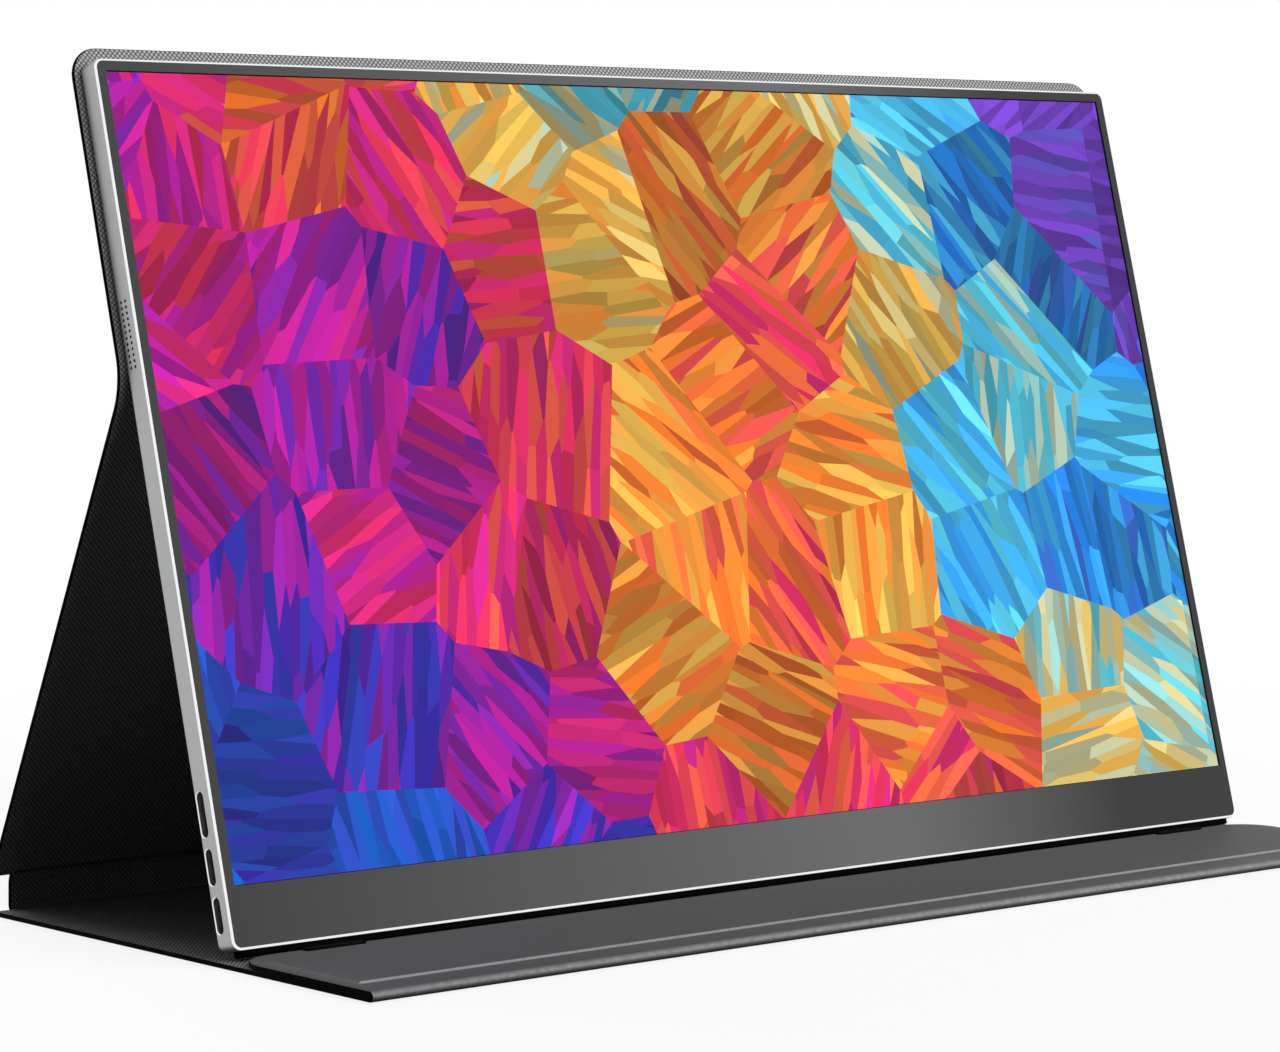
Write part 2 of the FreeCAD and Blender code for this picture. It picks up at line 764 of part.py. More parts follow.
def main_board():
    """Main board with notches for the sunk ports."""
    board = plate(board_left, board_right, main_board_bottom, main_board_top, board_back, board_front)
    cuts = screw_holes(screw_places()[:4])
    start = board_left - cut_overrun
    for y in usb_heights:
        end = port_inner_end(usb_depth) + notch_clearance
        cuts.append(notch(y, usb_opening_length + 2 * port_sheet, start, end))
    end = port_inner_end(hdmi_depth) + notch_clearance
    cuts.append(notch(hdmi_height, hdmi_opening_length + 2 * port_sheet, start, end))
    return board.cut(Part.makeCompound(cuts))


def scaler_chip():
    half = chip_size / 2
    return plate(shield_centre - half, shield_centre + half, main_board_middle - half,
                 main_board_middle + half, board_front, board_front + chip_height)


def board_shield():
    """Sheet metal can over the chip."""
    top = board_front + shield_height
    shapes = []
    inside = (shield_sheet, board_front - cut_overrun, top - shield_sheet)
    for inset, low, high in ((0, board_front, top), inside):
        half = shield_width / 2 - inset
        depth = shield_depth / 2 - inset
        shapes.append(plate(shield_centre - half, shield_centre + half, main_board_middle - depth,
                            main_board_middle + depth, low, high))
    can, hollow = shapes
    return can.cut(hollow)


def board_screws():
    """Small pan head screws through both boards into the bosses."""
    screws = []
    for x, y in screw_places():
        tip = FreeCAD.Vector(x, y, rear_wall + boss_floor)
        seat = FreeCAD.Vector(x, y, board_front)
        top = FreeCAD.Vector(x, y, board_front + screw_head_height)
        screws.append(rod(screw_diameter, tip, seat).fuse(rod(screw_head_diameter, seat, top)))
    return Part.makeCompound(screws)


def port_tongue(y, length, front, back):
    """Contact tongue in the middle of a port."""
    half = length / 2 - tongue_side_gap
    rise = tongue_thickness / 2
    return side_plate(y - half, y + half, port_line - rise, port_line + rise, front + tongue_setback, back)


def usb_port(y):
    """Stamped shell with round ends, closed at the back, round its tongue."""
    half = usb_opening_length / 2
    rise = usb_opening_height / 2
    front = port_wall_gap - half_inside
    back = port_inner_end(usb_depth)
    shell = side_plate(y - half - port_sheet, y + half + port_sheet, port_line - rise - port_sheet,
                       port_line + rise + port_sheet, front, back, rise + port_sheet)
    hollow = side_plate(y - half, y + half, port_line - rise, port_line + rise, front - cut_overrun,
                        back - port_back_wall, rise)
    return shell.cut(hollow).fuse(port_tongue(y, usb_opening_length, front, back)).removeSplitter()


def hdmi_profile(grow, x):
    """Outline of the mini port, with its two front corners cut off."""
    half = hdmi_opening_length / 2 + grow
    rise = hdmi_opening_height / 2 + grow
    cut = hdmi_corner_cut
    corners = [(-half, -rise), (half, -rise), (half, rise - cut), (half - cut, rise), (cut - half, rise),
               (-half, rise - cut)]
    points = [FreeCAD.Vector(x, hdmi_height + y, port_line + z) for y, z in corners]
    return Part.Face(Part.makePolygon(points + points[:1]))


def mini_hdmi_port():
    """Stamped shell with two cut corners, closed at the back, round its tongue."""
    front = port_wall_gap - half_inside
    back = port_inner_end(hdmi_depth)
    shell = hdmi_profile(port_sheet, front).extrude(FreeCAD.Vector(hdmi_depth, 0, 0))
    hollow_length = hdmi_depth - port_back_wall + cut_overrun
    hollow = hdmi_profile(0, front - cut_overrun).extrude(FreeCAD.Vector(hollow_length, 0, 0))
    tongue = port_tongue(hdmi_height, hdmi_opening_length, front, back)
    return shell.cut(hollow).fuse(tongue).removeSplitter()


def headphone_jack():
    """Socket body with its bore, sunk into the button board."""
    right = half_inside - port_wall_gap
    left = right - jack_length
    half = jack_housing_width / 2
    rise = jack_housing_height / 2
    body = side_plate(jack_height - half, jack_height + half, jack_line - rise, jack_line + rise, left, right)
    bore = rod(jack_bore, FreeCAD.Vector(left + jack_back_wall, jack_height, jack_line),
               FreeCAD.Vector(right + cut_overrun, jack_height, jack_line))
    return body.cut(bore)


def speaker(side):
    """Flat speaker box with its mouth towards the grille."""
    ends = sorted((side * speaker_face, side * speaker_inner))
    top = rear_wall + speaker_thickness
    body = plate(*ends, speaker_bottom, speaker_top, rear_wall, top, speaker_corner, speaker_corner)
    mouth_half = grille_rows * grille_pitch / 2
    mouth_ends = sorted((side * (speaker_face - speaker_mouth_depth), side * (speaker_face + cut_overrun)))
    mouth = plate(*mouth_ends, grille_height - mouth_half, grille_height + mouth_half,
                  rear_wall + speaker_mouth_wall, top - speaker_mouth_wall)
    return body.cut(mouth)


def speaker_meshes():
    """Dust meshes between the grilles and the speakers."""
    meshes = []
    half = grille_rows * grille_pitch / 2 + mesh_margin
    for side in (-1, 1):
        ends = sorted((side * half_inside, side * (half_inside - mesh_thickness)))
        meshes.append(plate(*ends, grille_height - half, grille_height + half, rear_wall, plate_back))
    return Part.makeCompound(meshes)


def speaker_leads():
    """Leads from both speakers, along the back of the case, to under the main board."""
    x = lead_place
    drop = board_left + lead_drop_from_edge
    end = main_board_top - lead_board_lap
    cross = boards_top + lead_cross_gap
    left = rod(lead_diameter, FreeCAD.Vector(-x, speaker_bottom, lead_line), FreeCAD.Vector(-x, end, lead_line))
    stops = ((x, speaker_bottom), (x, cross), (drop, cross), (drop, end))
    route = [FreeCAD.Vector(along, height, lead_line) for along, height in stops]
    return Part.makeCompound([left, tube_route(route, lead_diameter, lead_bend)])


def button_board():
    """Board on the right with notches for the switches and the headphone socket."""
    board = plate(button_board_left, button_board_right, button_board_bottom, button_board_top,
                  board_back, board_front)
    cuts = screw_holes(screw_places()[4:])
    end = button_board_right + cut_overrun
    for y in switch_heights:
        cuts.append(notch(y, switch_length, switch_left - notch_clearance, end))
    jack_left = half_inside - port_wall_gap - jack_length - notch_clearance
    cuts.append(notch(jack_height, jack_housing_width, jack_left, end))
    lug = rocker_lug_length + 2 * boss_wall
    cuts.append(notch(rocker_height, lug, rocker_axis - rocker_pin_diameter - 2 * boss_wall, end))
    return board.cut(Part.makeCompound(cuts))


def tact_switches():
    """Side pressed switches, one for the power button and two for the rocker."""
    switches = []
    rise = switch_height / 2
    for y in switch_heights:
        body = plate(switch_left, switch_right, y - switch_length / 2, y + switch_length / 2,
                     port_line - rise, port_line + rise)
        plunger = rod(plunger_diameter, FreeCAD.Vector(switch_left, y, port_line),
                      FreeCAD.Vector(plunger_tip, y, port_line))
        switches.append(body.fuse(plunger).removeSplitter())
    return Part.makeCompound(switches)


def button_cable():
    """Flat cable between the two boards."""
    start = board_right - button_cable_width
    end = button_board_left + button_cable_width / 2
    top = main_board_top - button_cable_drop + button_cable_width / 2
    return plate(start, end, top - button_cable_width, top, board_front, board_front + flat_cable_thickness)


def keeper_plates():
    """Steel plates inside the case that the cover's magnets hold."""
    plates = []
    middle = crease_height + magnet_height
    depth = magnet_width / 2 + keeper_margin
    for x in row_places(magnet_count, magnet_spacing):
        plates.append(plate(x - keeper_reach, x + keeper_reach, middle - depth, middle + depth, rear_wall,
                            rear_wall + keeper_thickness))
    return Part.makeCompound(plates)


def power_button():
    """Key in its slot, with a flange behind the wall."""
    half = power_length / 2
    rise = button_thickness / 2
    key = side_plate(power_height - half, power_height + half, port_line - rise, port_line + rise,
                     key_inner, half_monitor + button_proud, rise)
    half += button_flange
    rise += button_flange
    flange = side_plate(power_height - half, power_height + half, port_line - rise, port_line + rise,
                        key_inner, half_inside - button_clearance, rise)
    return key.fuse(flange).removeSplitter()


def menu_rocker():
    """Two-way key that rocks on its pin."""
    half = rocker_length / 2
    rise = button_thickness / 2
    key = side_plate(rocker_height - half, rocker_height + half, port_line - rise, port_line + rise,
                     key_inner, half_monitor + button_proud, rise)
    lug_half = rocker_lug_length / 2
    lug = side_plate(rocker_height - lug_half, rocker_height + lug_half, port_line - rise, port_line + rise,
                     half_inside - rocker_pin_back - rocker_lug_reach / 2, half_inside)
    hole = rod(rocker_pin_diameter + 2 * rocker_pin_clearance,
               FreeCAD.Vector(rocker_axis, rocker_height, port_line - rise - cut_overrun),
               FreeCAD.Vector(rocker_axis, rocker_height, port_line + rise + cut_overrun))
    return key.fuse(lug).cut(hole).removeSplitter()


def menu_rocker_pin():
    top = port_line + button_thickness / 2 + button_clearance
    return rod(rocker_pin_diameter, FreeCAD.Vector(rocker_axis, rocker_height, pin_foot),
               FreeCAD.Vector(rocker_axis, rocker_height, top))


def monitor_pieces():
    """Every piece of the monitor, in the monitor's own axes."""
    lower, upper = usb_heights
    return {
        "rear_shell": rear_shell(),
        "foot_strip": foot_strip(),
        "front_bezel": front_bezel(),
        "bezel_tape": bezel_tape(),
        "lcd_cell": plate(-cell_half, cell_half, cell_bottom, cell_top, cell_back, cell_front),
        "diffuser_films": film_plate(film_bottom, films_back, cell_back),
        "light_guide": film_plate(film_bottom, guide_back, films_back),
        "reflector_sheet": film_plate(film_bottom, reflector_back, guide_back),
        "led_bar": led_bar(),
        "panel_frame": panel_frame(),
        "panel_back_plate": panel_back_plate(),
        "panel_foam": panel_foam(),
        "panel_driver_board": panel_driver_board(),
        "panel_cable": panel_cable(),
        "main_board": main_board(),
        "scaler_chip": scaler_chip(),
        "board_shield": board_shield(),
        "board_screws": board_screws(),
        "usb_c_port_lower": usb_port(lower),
        "usb_c_port_upper": usb_port(upper),
        "mini_hdmi_port": mini_hdmi_port(),
        "headphone_jack": headphone_jack(),
        "speaker_left": speaker(-1),
        "speaker_right": speaker(1),
        "speaker_meshes": speaker_meshes(),
        "speaker_leads": speaker_leads(),
        "button_board": button_board(),
        "tact_switches": tact_switches(),
        "button_cable": button_cable(),
        "keeper_plates": keeper_plates(),
        "power_button": power_button(),
        "menu_rocker": menu_rocker(),
        "menu_rocker_pin": menu_rocker_pin(),
    }


# Hinge lines of the folded cover, as place and level in the open layout, and the turn of each fold
SPINE_HINGE = (0, hinge_level, spine_fold)
PROP_HINGE = (spine_prop_line, hinge_level, prop_fold)
CREASE_HINGE = (crease_line, hinge_level, crease_fold_angle)
NOSE_HINGE = (nose_line, nose_level, -flap_turn)


def folded(shape, *hinges):
    """Turn a flat piece about its hinge lines, the outermost first, and set it over the origin."""
    for line, level, angle in hinges:
        shape = shape.rotated(FreeCAD.Vector(0, line, level), X_AXIS, angle)
    return shape.translated(FreeCAD.Vector(0, depth_shift, 0))


def add_panel(pieces, name, layers, *hinges):
    """Store the three layers of one panel under its name."""
    for layer, shape in zip(("skin", "board", "lining"), layers):
        pieces[name + "_" + layer] = folded(shape, *hinges)


def build():
    """Every piece in the standing pose, by name."""
    pieces = {}
    to_prop = (PROP_HINGE, SPINE_HINGE)
    to_rear = (CREASE_HINGE,) + to_prop
    add_panel(pieces, "base", base_panel())
    add_panel(pieces, "spine", spine_panel(), SPINE_HINGE)
    add_panel(pieces, "prop", prop_panel(), *to_prop)
    layers, magnet_row = rear_panel()
    add_panel(pieces, "rear_panel", layers, *to_rear)
    pieces["rear_panel_magnets"] = folded(magnet_row, *to_rear)
    layers, magnet_row, pads = flap_panel()
    add_panel(pieces, "flap", layers, NOSE_HINGE)
    pieces["flap_magnets"] = folded(magnet_row, NOSE_HINGE)
    pieces["flap_stop_pads"] = folded(pads, NOSE_HINGE)
    hinge_reach = hinge_setback - fold_gap
    web = fold_web(0, half_spine, hinge_reach, spine_fold)
    pieces["spine_base_fold"] = folded(web)
    web = fold_web(spine_prop_line, half_spine, hinge_reach, prop_fold)
    pieces["spine_prop_fold"] = folded(web, SPINE_HINGE)
    web = fold_web(crease_line, half_cover, crease_setback - fold_gap, crease_fold_angle)
    pieces["crease_fold"] = folded(web, *to_prop)
    pieces["flap_fold"] = folded(nose_web())
    seat = FreeCAD.Vector(0, monitor_foot_line, monitor_back_level)
    for name, shape in monitor_pieces().items():
        pieces[name] = folded(shape.translated(seat), *to_rear)
    return pieces


os.makedirs("parts", exist_ok=True)
for piece_name, piece in build().items():
    piece.exportStep("parts/" + piece_name + ".step")
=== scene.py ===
import json
import math

import bmesh
import bpy
from bpy.props import FloatProperty, FloatVectorProperty, IntProperty
from mathutils import Matrix, Vector


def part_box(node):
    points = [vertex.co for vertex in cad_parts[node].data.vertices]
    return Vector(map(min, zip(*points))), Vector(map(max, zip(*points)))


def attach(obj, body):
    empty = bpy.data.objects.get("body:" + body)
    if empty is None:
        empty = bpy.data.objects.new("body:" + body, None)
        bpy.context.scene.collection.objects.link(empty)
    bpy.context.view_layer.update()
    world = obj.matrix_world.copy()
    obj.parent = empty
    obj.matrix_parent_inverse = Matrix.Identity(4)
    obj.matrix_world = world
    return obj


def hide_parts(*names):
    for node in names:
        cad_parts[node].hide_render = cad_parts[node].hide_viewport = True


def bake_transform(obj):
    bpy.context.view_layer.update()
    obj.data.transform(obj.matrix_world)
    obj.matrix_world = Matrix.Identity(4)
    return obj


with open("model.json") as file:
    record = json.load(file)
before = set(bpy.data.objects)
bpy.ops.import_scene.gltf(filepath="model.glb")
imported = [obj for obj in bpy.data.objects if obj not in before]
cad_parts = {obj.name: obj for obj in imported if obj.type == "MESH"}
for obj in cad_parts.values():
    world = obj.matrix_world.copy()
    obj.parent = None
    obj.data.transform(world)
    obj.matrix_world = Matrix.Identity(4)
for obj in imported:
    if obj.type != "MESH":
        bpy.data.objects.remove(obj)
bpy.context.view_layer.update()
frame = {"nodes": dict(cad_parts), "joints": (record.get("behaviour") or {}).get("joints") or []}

bl_info = {
    "name": "Folio monitor looks",
    "version": (1, 0, 0),
    "blender": (4, 5, 0),
    "location": "View3D > Sidebar > Folio",
    "description": "Cover, ports, finishes and studio for a portable monitor in a folio cover",
    "category": "Object",
}

JOINTS = {joint["name"]: joint for joint in frame["joints"]}
NOSE = Vector(JOINTS["flap_turn"]["pos_m"])
SPINE_LINE = Vector(JOINTS["cover_open"]["pos_m"])
PROP_LINE = Vector(JOINTS["stand_unfold"]["pos_m"])
CREASE_LINE = Vector(JOINTS["crease_flatten"]["pos_m"])
ACROSS = Vector((1, 0, 0))
UP = Vector(JOINTS["monitor_lift"]["axis"])
OUT = Vector(JOINTS["menu_rock"]["axis"])
HALF_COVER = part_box("base_skin")[1].x
HALF_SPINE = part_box("spine_skin")[1].x
PANEL_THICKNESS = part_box("base_lining")[1].z
HINGE_LEVEL = SPINE_LINE.z
MM = 0.001
PORTS = ("usb_c_port_lower", "usb_c_port_upper", "mini_hdmi_port")
SKIN, LINING, EDGE = range(3)


def span(name, origin, direction):
    """Lowest and highest reach of a solid along a direction."""
    reach = [(vertex.co - origin).dot(direction) for vertex in frame["nodes"][name].data.vertices]
    return min(reach), max(reach)


def placing(origin, *axes):
    """Matrix that puts flat axes along three directions at an origin."""
    return Matrix.Translation(origin) @ Matrix(axes).transposed().to_4x4()


def slope_of(direction):
    """Angle by which a direction rises above the table."""
    return math.atan2(direction.z, direction.y)


FOOT = UP * span("rear_shell", Vector(), UP)[0] + OUT * span("rear_shell", Vector(), OUT)[0]
MONITOR_PLACE = placing(FOOT, ACROSS, UP, OUT)
MONITOR_DEPTH = span("rear_shell", FOOT, OUT)[1]
SPINE_ANGLE = slope_of(PROP_LINE - SPINE_LINE)
PROP_ANGLE = slope_of(CREASE_LINE - PROP_LINE)
REAR_ANGLE = slope_of(UP)
SPINE_FLAT = (PROP_LINE - SPINE_LINE).length
CREASE_FLAT = SPINE_FLAT + (CREASE_LINE - PROP_LINE).length
NOSE_FLAT = NOSE.y - SPINE_LINE.y
FLAP_LINE = Vector((0, NOSE.y, 2 * NOSE.z - HINGE_LEVEL))


def linear(*levels):
    """Colour written in 0 to 255 display levels, as the linear values that shaders take."""
    shares = [level / 255 for level in levels]
    return tuple(s / 12.92 if s <= 0.04045 else ((s + 0.055) / 1.055) ** 2.4 for s in shares)


def scaled(colour, share):
    """Colour made darker or lighter."""
    return tuple(level * share for level in colour)


def length_setting(name, description, default):
    """Setting for a length in metres."""
    return FloatProperty(name=name, description=description, default=default, unit="LENGTH")


def share_setting(name, description, default):
    """Setting for a share of a whole."""
    return FloatProperty(name=name, description=description, default=default, min=0.0, max=1.0)


def colour_setting(name, description, *levels):
    """Setting for a colour, written in display levels."""
    return FloatVectorProperty(name=name, description=description, default=linear(*levels), subtype="COLOR")


def angle_setting(name, description, degrees):
    """Setting for an angle, written in degrees."""
    return FloatProperty(name=name, description=description, default=math.radians(degrees), subtype="ANGLE")


class CoverSettings(bpy.types.PropertyGroup):
    """Sizes and colours of the folio cover."""

    border_rise: length_setting("Border rise", "Depth of the embossed step round each panel", 0.3 * MM)
    emboss_slope: length_setting("Emboss slope", "Width of the embossed step's slope", 0.6 * MM)
    flap_slope: length_setting("Flap slope", "Width of the slope of the flap's embossed step", 1.0 * MM)
    edge_border: length_setting("Edge border", "Flat border outside the embossed step", 4.0 * MM)
    fold_border: length_setting("Fold border", "Flat border beside a fold", 1.2 * MM)
    spine_border: length_setting("Spine border", "Flat border on the narrow spine", 0.7 * MM)
    flap_border: length_setting("Flap border", "Border of the flap behind its front fold", 8.7 * MM)
    base_border: length_setting("Base border", "Border of the base behind its front fold", 5.2 * MM)
    corner_radius: length_setting("Corner radius", "Round corners at the top of the rear panel", 7.5 * MM)
    flap_radius: length_setting("Flap radius", "Round corners at the free edge of the flap", 11.0 * MM)
    hinge_radius: length_setting("Hinge radius", "Round corners beside the spine", 1.5 * MM)
    thread_pitch: length_setting("Thread pitch", "Distance between threads of the lining", 0.945 * MM)
    lining_colour: colour_setting("Lining colour", "Thread colour of the woven lining", 184, 184, 186)
    skin_colour: colour_setting("Skin colour", "Colour of the smooth outer skin", 97, 98, 99)
    # Near-black edge all round each panel; its darkness also stands in for the shade on the panels' sides.
    edge_colour: colour_setting("Edge colour", "Dyed edge all round each panel", 9, 9, 10)
    # Painted highlight: how pale the embossed steps are painted, strongest on the flap's front step and its
    # round front edge.
    front_highlight: share_setting("Front wear", "How pale the flap's front step is rubbed", 1.0)
    side_highlight: share_setting("Side wear", "How pale the other embossed steps are rubbed", 0.3)
    # Painted shade: share of the lining's colour kept inside the stand and under the flap, and just above
    # the crease, from where it rises to full colour at the top of the rear panel.
    inner_shade: share_setting(
        "Inner fade", "Share of the lining's colour inside the stand and under the flap", 0.5)
    crease_shade: share_setting("Crease fade", "Share of the lining's colour just above the crease", 0.64)


class CaseSettings(bpy.types.PropertyGroup):
    """Colours of the monitor's case and contacts of its ports."""

    metal_colour: colour_setting("Metal colour", "Blasted aluminium of the tray", 176, 177, 178)
    rim_colour: colour_setting("Rim colour", "Polished rim of the tray", 243, 244, 245)
    bezel_colour: colour_setting("Bezel colour", "Frame round the screen", 65, 65, 66)
    contact_pitch: length_setting("Contact pitch", "Distance between contacts in a small port", 0.5 * MM)
    contact_count: IntProperty(
        name="Contact count", description="Contacts on each face of a small port", default=12, min=1)


class ScreenSettings(bpy.types.PropertyGroup):
    """Picture on the screen."""

    lit_width: length_setting("Lit width", "Width of the lit area", 344.16 * MM)
    lit_height: length_setting("Lit height", "Height of the lit area", 193.59 * MM)
    lit_bottom: length_setting("Lit bottom", "Lit area's height above the case's bottom edge", 15.0 * MM)
    facet_size: length_setting("Facet size", "Rough width of one facet of the picture", 34.0 * MM)
    brightness: FloatProperty(
        name="Brightness", description="Strength of the lit picture", default=1.0, min=0.0)


class StageSettings(bpy.types.PropertyGroup):
    """Camera and studio light."""

    camera_place: FloatVectorProperty(
        name="Camera place", description="Where the camera stands", subtype="TRANSLATION", unit="LENGTH",
        default=(-0.76223, -0.81504, 0.17662))
    camera_pan: angle_setting("Camera pan", "Turn of the camera to the right", 41.873)
    camera_tilt: angle_setting("Camera tilt", "Tilt of the camera downwards", 4.301)
    camera_roll: angle_setting("Camera roll", "Roll of the camera", 0.508)
    camera_lens: FloatProperty(
        name="Camera lens", description="Focal length on a 36 mm wide sensor", default=122.09)
    key_power: FloatProperty(
        name="Key power", description="Power of the large lamp at the front right", subtype="POWER",
        default=25.0)
    fill_level: FloatProperty(
        name="Fill level", description="Brightness of the room around the object", default=0.05)


def plug(tree, socket, value):
    """Link another socket to an input, or set a plain value on it."""
    if isinstance(value, bpy.types.NodeSocket):
        tree.links.new(value, socket)
    else:
        socket.default_value = value


def node(tree, kind, inputs=None, **settings):
    """Add a node with its properties set, and its inputs plugged by name or number."""
    made = tree.nodes.new(kind)
    for name, value in settings.items():
        setattr(made, name, value)
    for key, value in (inputs or {}).items():
        plug(tree, made.inputs[key], value)
    return made


def maths(tree, operation, *values):
    """Result of a math node whose inputs are numbers or sockets."""
    return node(tree, "ShaderNodeMath", dict(enumerate(values)), operation=operation).outputs[0]


def vector_maths(tree, operation, inputs):
    """Outputs of a vector math node."""
    return node(tree, "ShaderNodeVectorMath", inputs, operation=operation).outputs


def between(tree, value, low, high, kind="SMOOTHSTEP"):
    """Step from 0 at low to 1 at high, smooth unless another kind is named."""
    inputs = {"Value": value, "From Min": low, "From Max": high}
    return node(tree, "ShaderNodeMapRange", inputs, interpolation_type=kind).outputs["Result"]


def spread(tree, tone, low, high):
    """Value from low to high by a tone."""
    inputs = {"Value": tone, "To Min": low, "To Max": high}
    return node(tree, "ShaderNodeMapRange", inputs).outputs["Result"]


def blend(tree, share, first, second):
    """Mix two colours, each a colour or a socket, by a share."""
    mix = node(tree, "ShaderNodeMix", {"Factor": share}, data_type="RGBA")
    sockets = [socket for socket in mix.inputs if socket.type == "RGBA"]
    for socket, value in zip(sockets, (first, second)):
        plug(tree, socket, value if isinstance(value, bpy.types.NodeSocket) else (*value[:3], 1))
    return next(socket for socket in mix.outputs if socket.type == "RGBA")


def shader_group(name, inputs, outputs):
    """Start a node group whose sockets are numbers, or vectors where they have no number."""
    tree = bpy.data.node_groups.new(name, "ShaderNodeTree")
    for in_out, sockets in (("INPUT", inputs), ("OUTPUT", outputs)):
        for label, default in sockets.items():
            kind = "NodeSocketVector" if default is None else "NodeSocketFloat"
            socket = tree.interface.new_socket(label, in_out=in_out, socket_type=kind)
            if default is not None:
                socket.default_value = default
    return tree, tree.nodes.new("NodeGroupInput").outputs


def use_group(tree, name, **inputs):
    """Outputs of a node group that is placed with its inputs plugged."""
    return node(tree, "ShaderNodeGroup", inputs, node_tree=bpy.data.node_groups[name]).outputs


def woven_threads_group():
    """Plain weave seen at 45 degrees: height of the threads and where they rise over each other."""
    tree, start = shader_group(
        "woven_threads", {"Vector": None, "Pitch": 0.7 * MM}, {"Height": 0.0, "Crown": 0.0})
    dip = 0.45
    roundness = 0.6
    parts = node(tree, "ShaderNodeSeparateXYZ", {0: start["Vector"]}).outputs
    scale = maths(tree, "DIVIDE", math.sqrt(0.5), start["Pitch"])
    counts = []
    rounds = []
    for slant in ("ADD", "SUBTRACT"):
        thread = maths(tree, "MULTIPLY", maths(tree, slant, parts[0], parts[1]), scale)
        share = maths(tree, "FRACT", thread)
        counts.append(maths(tree, "FLOOR", thread))
        rounds.append(maths(tree, "SINE", maths(tree, "MULTIPLY", share, math.pi)))
    cells = maths(tree, "ABSOLUTE", maths(tree, "ADD", *counts))
    over = maths(tree, "MODULO", cells, 2.0)
    under = maths(tree, "SUBTRACT", 1.0, over)
    tops = []
    for across, along, shown in ((*rounds, under), (*rounds[::-1], over)):
        swell = maths(tree, "MULTIPLY_ADD", along, dip, 1 - dip)
        top = maths(tree, "MULTIPLY", maths(tree, "POWER", across, roundness), swell)
        tops.append(maths(tree, "MULTIPLY", top, shown))
    height = maths(tree, "ADD", *tops)
    node(tree, "NodeGroupOutput", {"Height": height, "Crown": between(tree, height, 0.45, 0.95)})


def fine_grain_group():
    """Pressed grain of a smooth skin or a moulded face: its height and a slow change of tone."""
    tree, start = shader_group(
        "fine_grain", {"Vector": None, "Scale": 1800.0}, {"Height": 0.0, "Tone": 0.0})
    cells = node(tree, "ShaderNodeTexVoronoi", {
        "Vector": start["Vector"], "Scale": start["Scale"], "Smoothness": 0.6}, feature="SMOOTH_F1")
    noises = []
    for share, detail in ((0.7, 3.0), (0.012, 2.0)):
        scale = maths(tree, "MULTIPLY", start["Scale"], share)
        noise = node(tree, "ShaderNodeTexNoise", {
            "Vector": start["Vector"], "Scale": scale, "Detail": detail})
        noises.append(noise.outputs["Fac"])
    height = maths(tree, "ADD", cells.outputs["Distance"], noises[0])
    node(tree, "NodeGroupOutput", {"Height": height, "Tone": noises[1]})


def monitor_place_group():
    """Place on the monitor: across, up from its bottom edge and out from its back, in metres."""
    directions = {"Across": ACROSS, "Up": UP, "Out": OUT}
    tree, start = shader_group("monitor_place", {"Vector": None}, dict.fromkeys(directions, 0.0))
    moved = vector_maths(tree, "SUBTRACT", {0: start["Vector"], 1: FOOT})[0]
    reach = {}
    for label, direction in directions.items():
        reach[label] = vector_maths(tree, "DOT_PRODUCT", {0: moved, 1: direction})["Value"]
    node(tree, "NodeGroupOutput", reach)


def slot_rim_group():
    """Bevelled rim round a slot with round ends, in the plane of the monitor's side."""
    inputs = {"Up": 0.0, "Out": 0.0, "Middle": 0.0, "Level": 0.0}
    inputs.update({"Half": 4.0 * MM, "Radius": 1.3 * MM, "Width": 0.2 * MM})
    tree, start = shader_group("slot_rim", inputs, {"Rim": 0.0})
    along = maths(tree, "ABSOLUTE", maths(tree, "SUBTRACT", start["Up"], start["Middle"]))
    straight = maths(tree, "SUBTRACT", start["Half"], start["Radius"])
    past = maths(tree, "MAXIMUM", maths(tree, "SUBTRACT", along, straight), 0.0)
    aside = maths(tree, "SUBTRACT", start["Out"], start["Level"])
    squares = [maths(tree, "MULTIPLY", value, value) for value in (past, aside)]
    distance = maths(tree, "SQRT", maths(tree, "ADD", *squares))
    away = maths(tree, "SUBTRACT", distance, start["Radius"])
    node(tree, "NodeGroupOutput", {"Rim": maths(tree, "LESS_THAN", away, start["Width"])})


def picture_facets_group():
    """Mosaic of facets, each cut into slender shards along its own heading.

    It gives the place of the facet's centre, the light of the shard and its drift in colour.
    """
    tree, start = shader_group(
        "picture_facets", {"Vector": None, "Facet": 30 * MM, "Length": 20 * MM, "Width": 3 * MM},
        {"Centre": None, "Light": 0.0, "Drift": 0.0})
    facets = node(tree, "ShaderNodeTexVoronoi", {
        "Vector": start["Vector"], "Scale": maths(tree, "DIVIDE", 1.0, start["Facet"]),
        "Randomness": 0.9}, voronoi_dimensions="2D").outputs
    chance = node(tree, "ShaderNodeSeparateColor", {0: facets["Color"]}).outputs
    turn = node(tree, "ShaderNodeVectorRotate", {
        "Vector": start["Vector"], "Angle": maths(tree, "MULTIPLY", chance[1], math.pi)},
        rotation_type="Z_AXIS").outputs[0]
    turned = node(tree, "ShaderNodeSeparateXYZ", {0: turn}).outputs
    slim = node(tree, "ShaderNodeCombineXYZ", {
        0: maths(tree, "DIVIDE", turned[0], start["Length"]),
        1: maths(tree, "DIVIDE", turned[1], start["Width"])}).outputs[0]
    shards = node(tree, "ShaderNodeTexVoronoi", {"Vector": slim, "Scale": 1.0}, voronoi_dimensions="2D")
    shade = node(tree, "ShaderNodeSeparateColor", {0: shards.outputs["Color"]}).outputs
    whole = maths(tree, "MULTIPLY_ADD", maths(tree, "POWER", chance[0], 0.8), 0.6, 0.5)
    split = maths(tree, "MULTIPLY_ADD", maths(tree, "POWER", shade[0], 1.4), 0.8, 0.6)
    light = maths(tree, "MULTIPLY", whole, split)
    node(tree, "NodeGroupOutput", {"Centre": facets["Position"], "Light": light, "Drift": shade[1]})


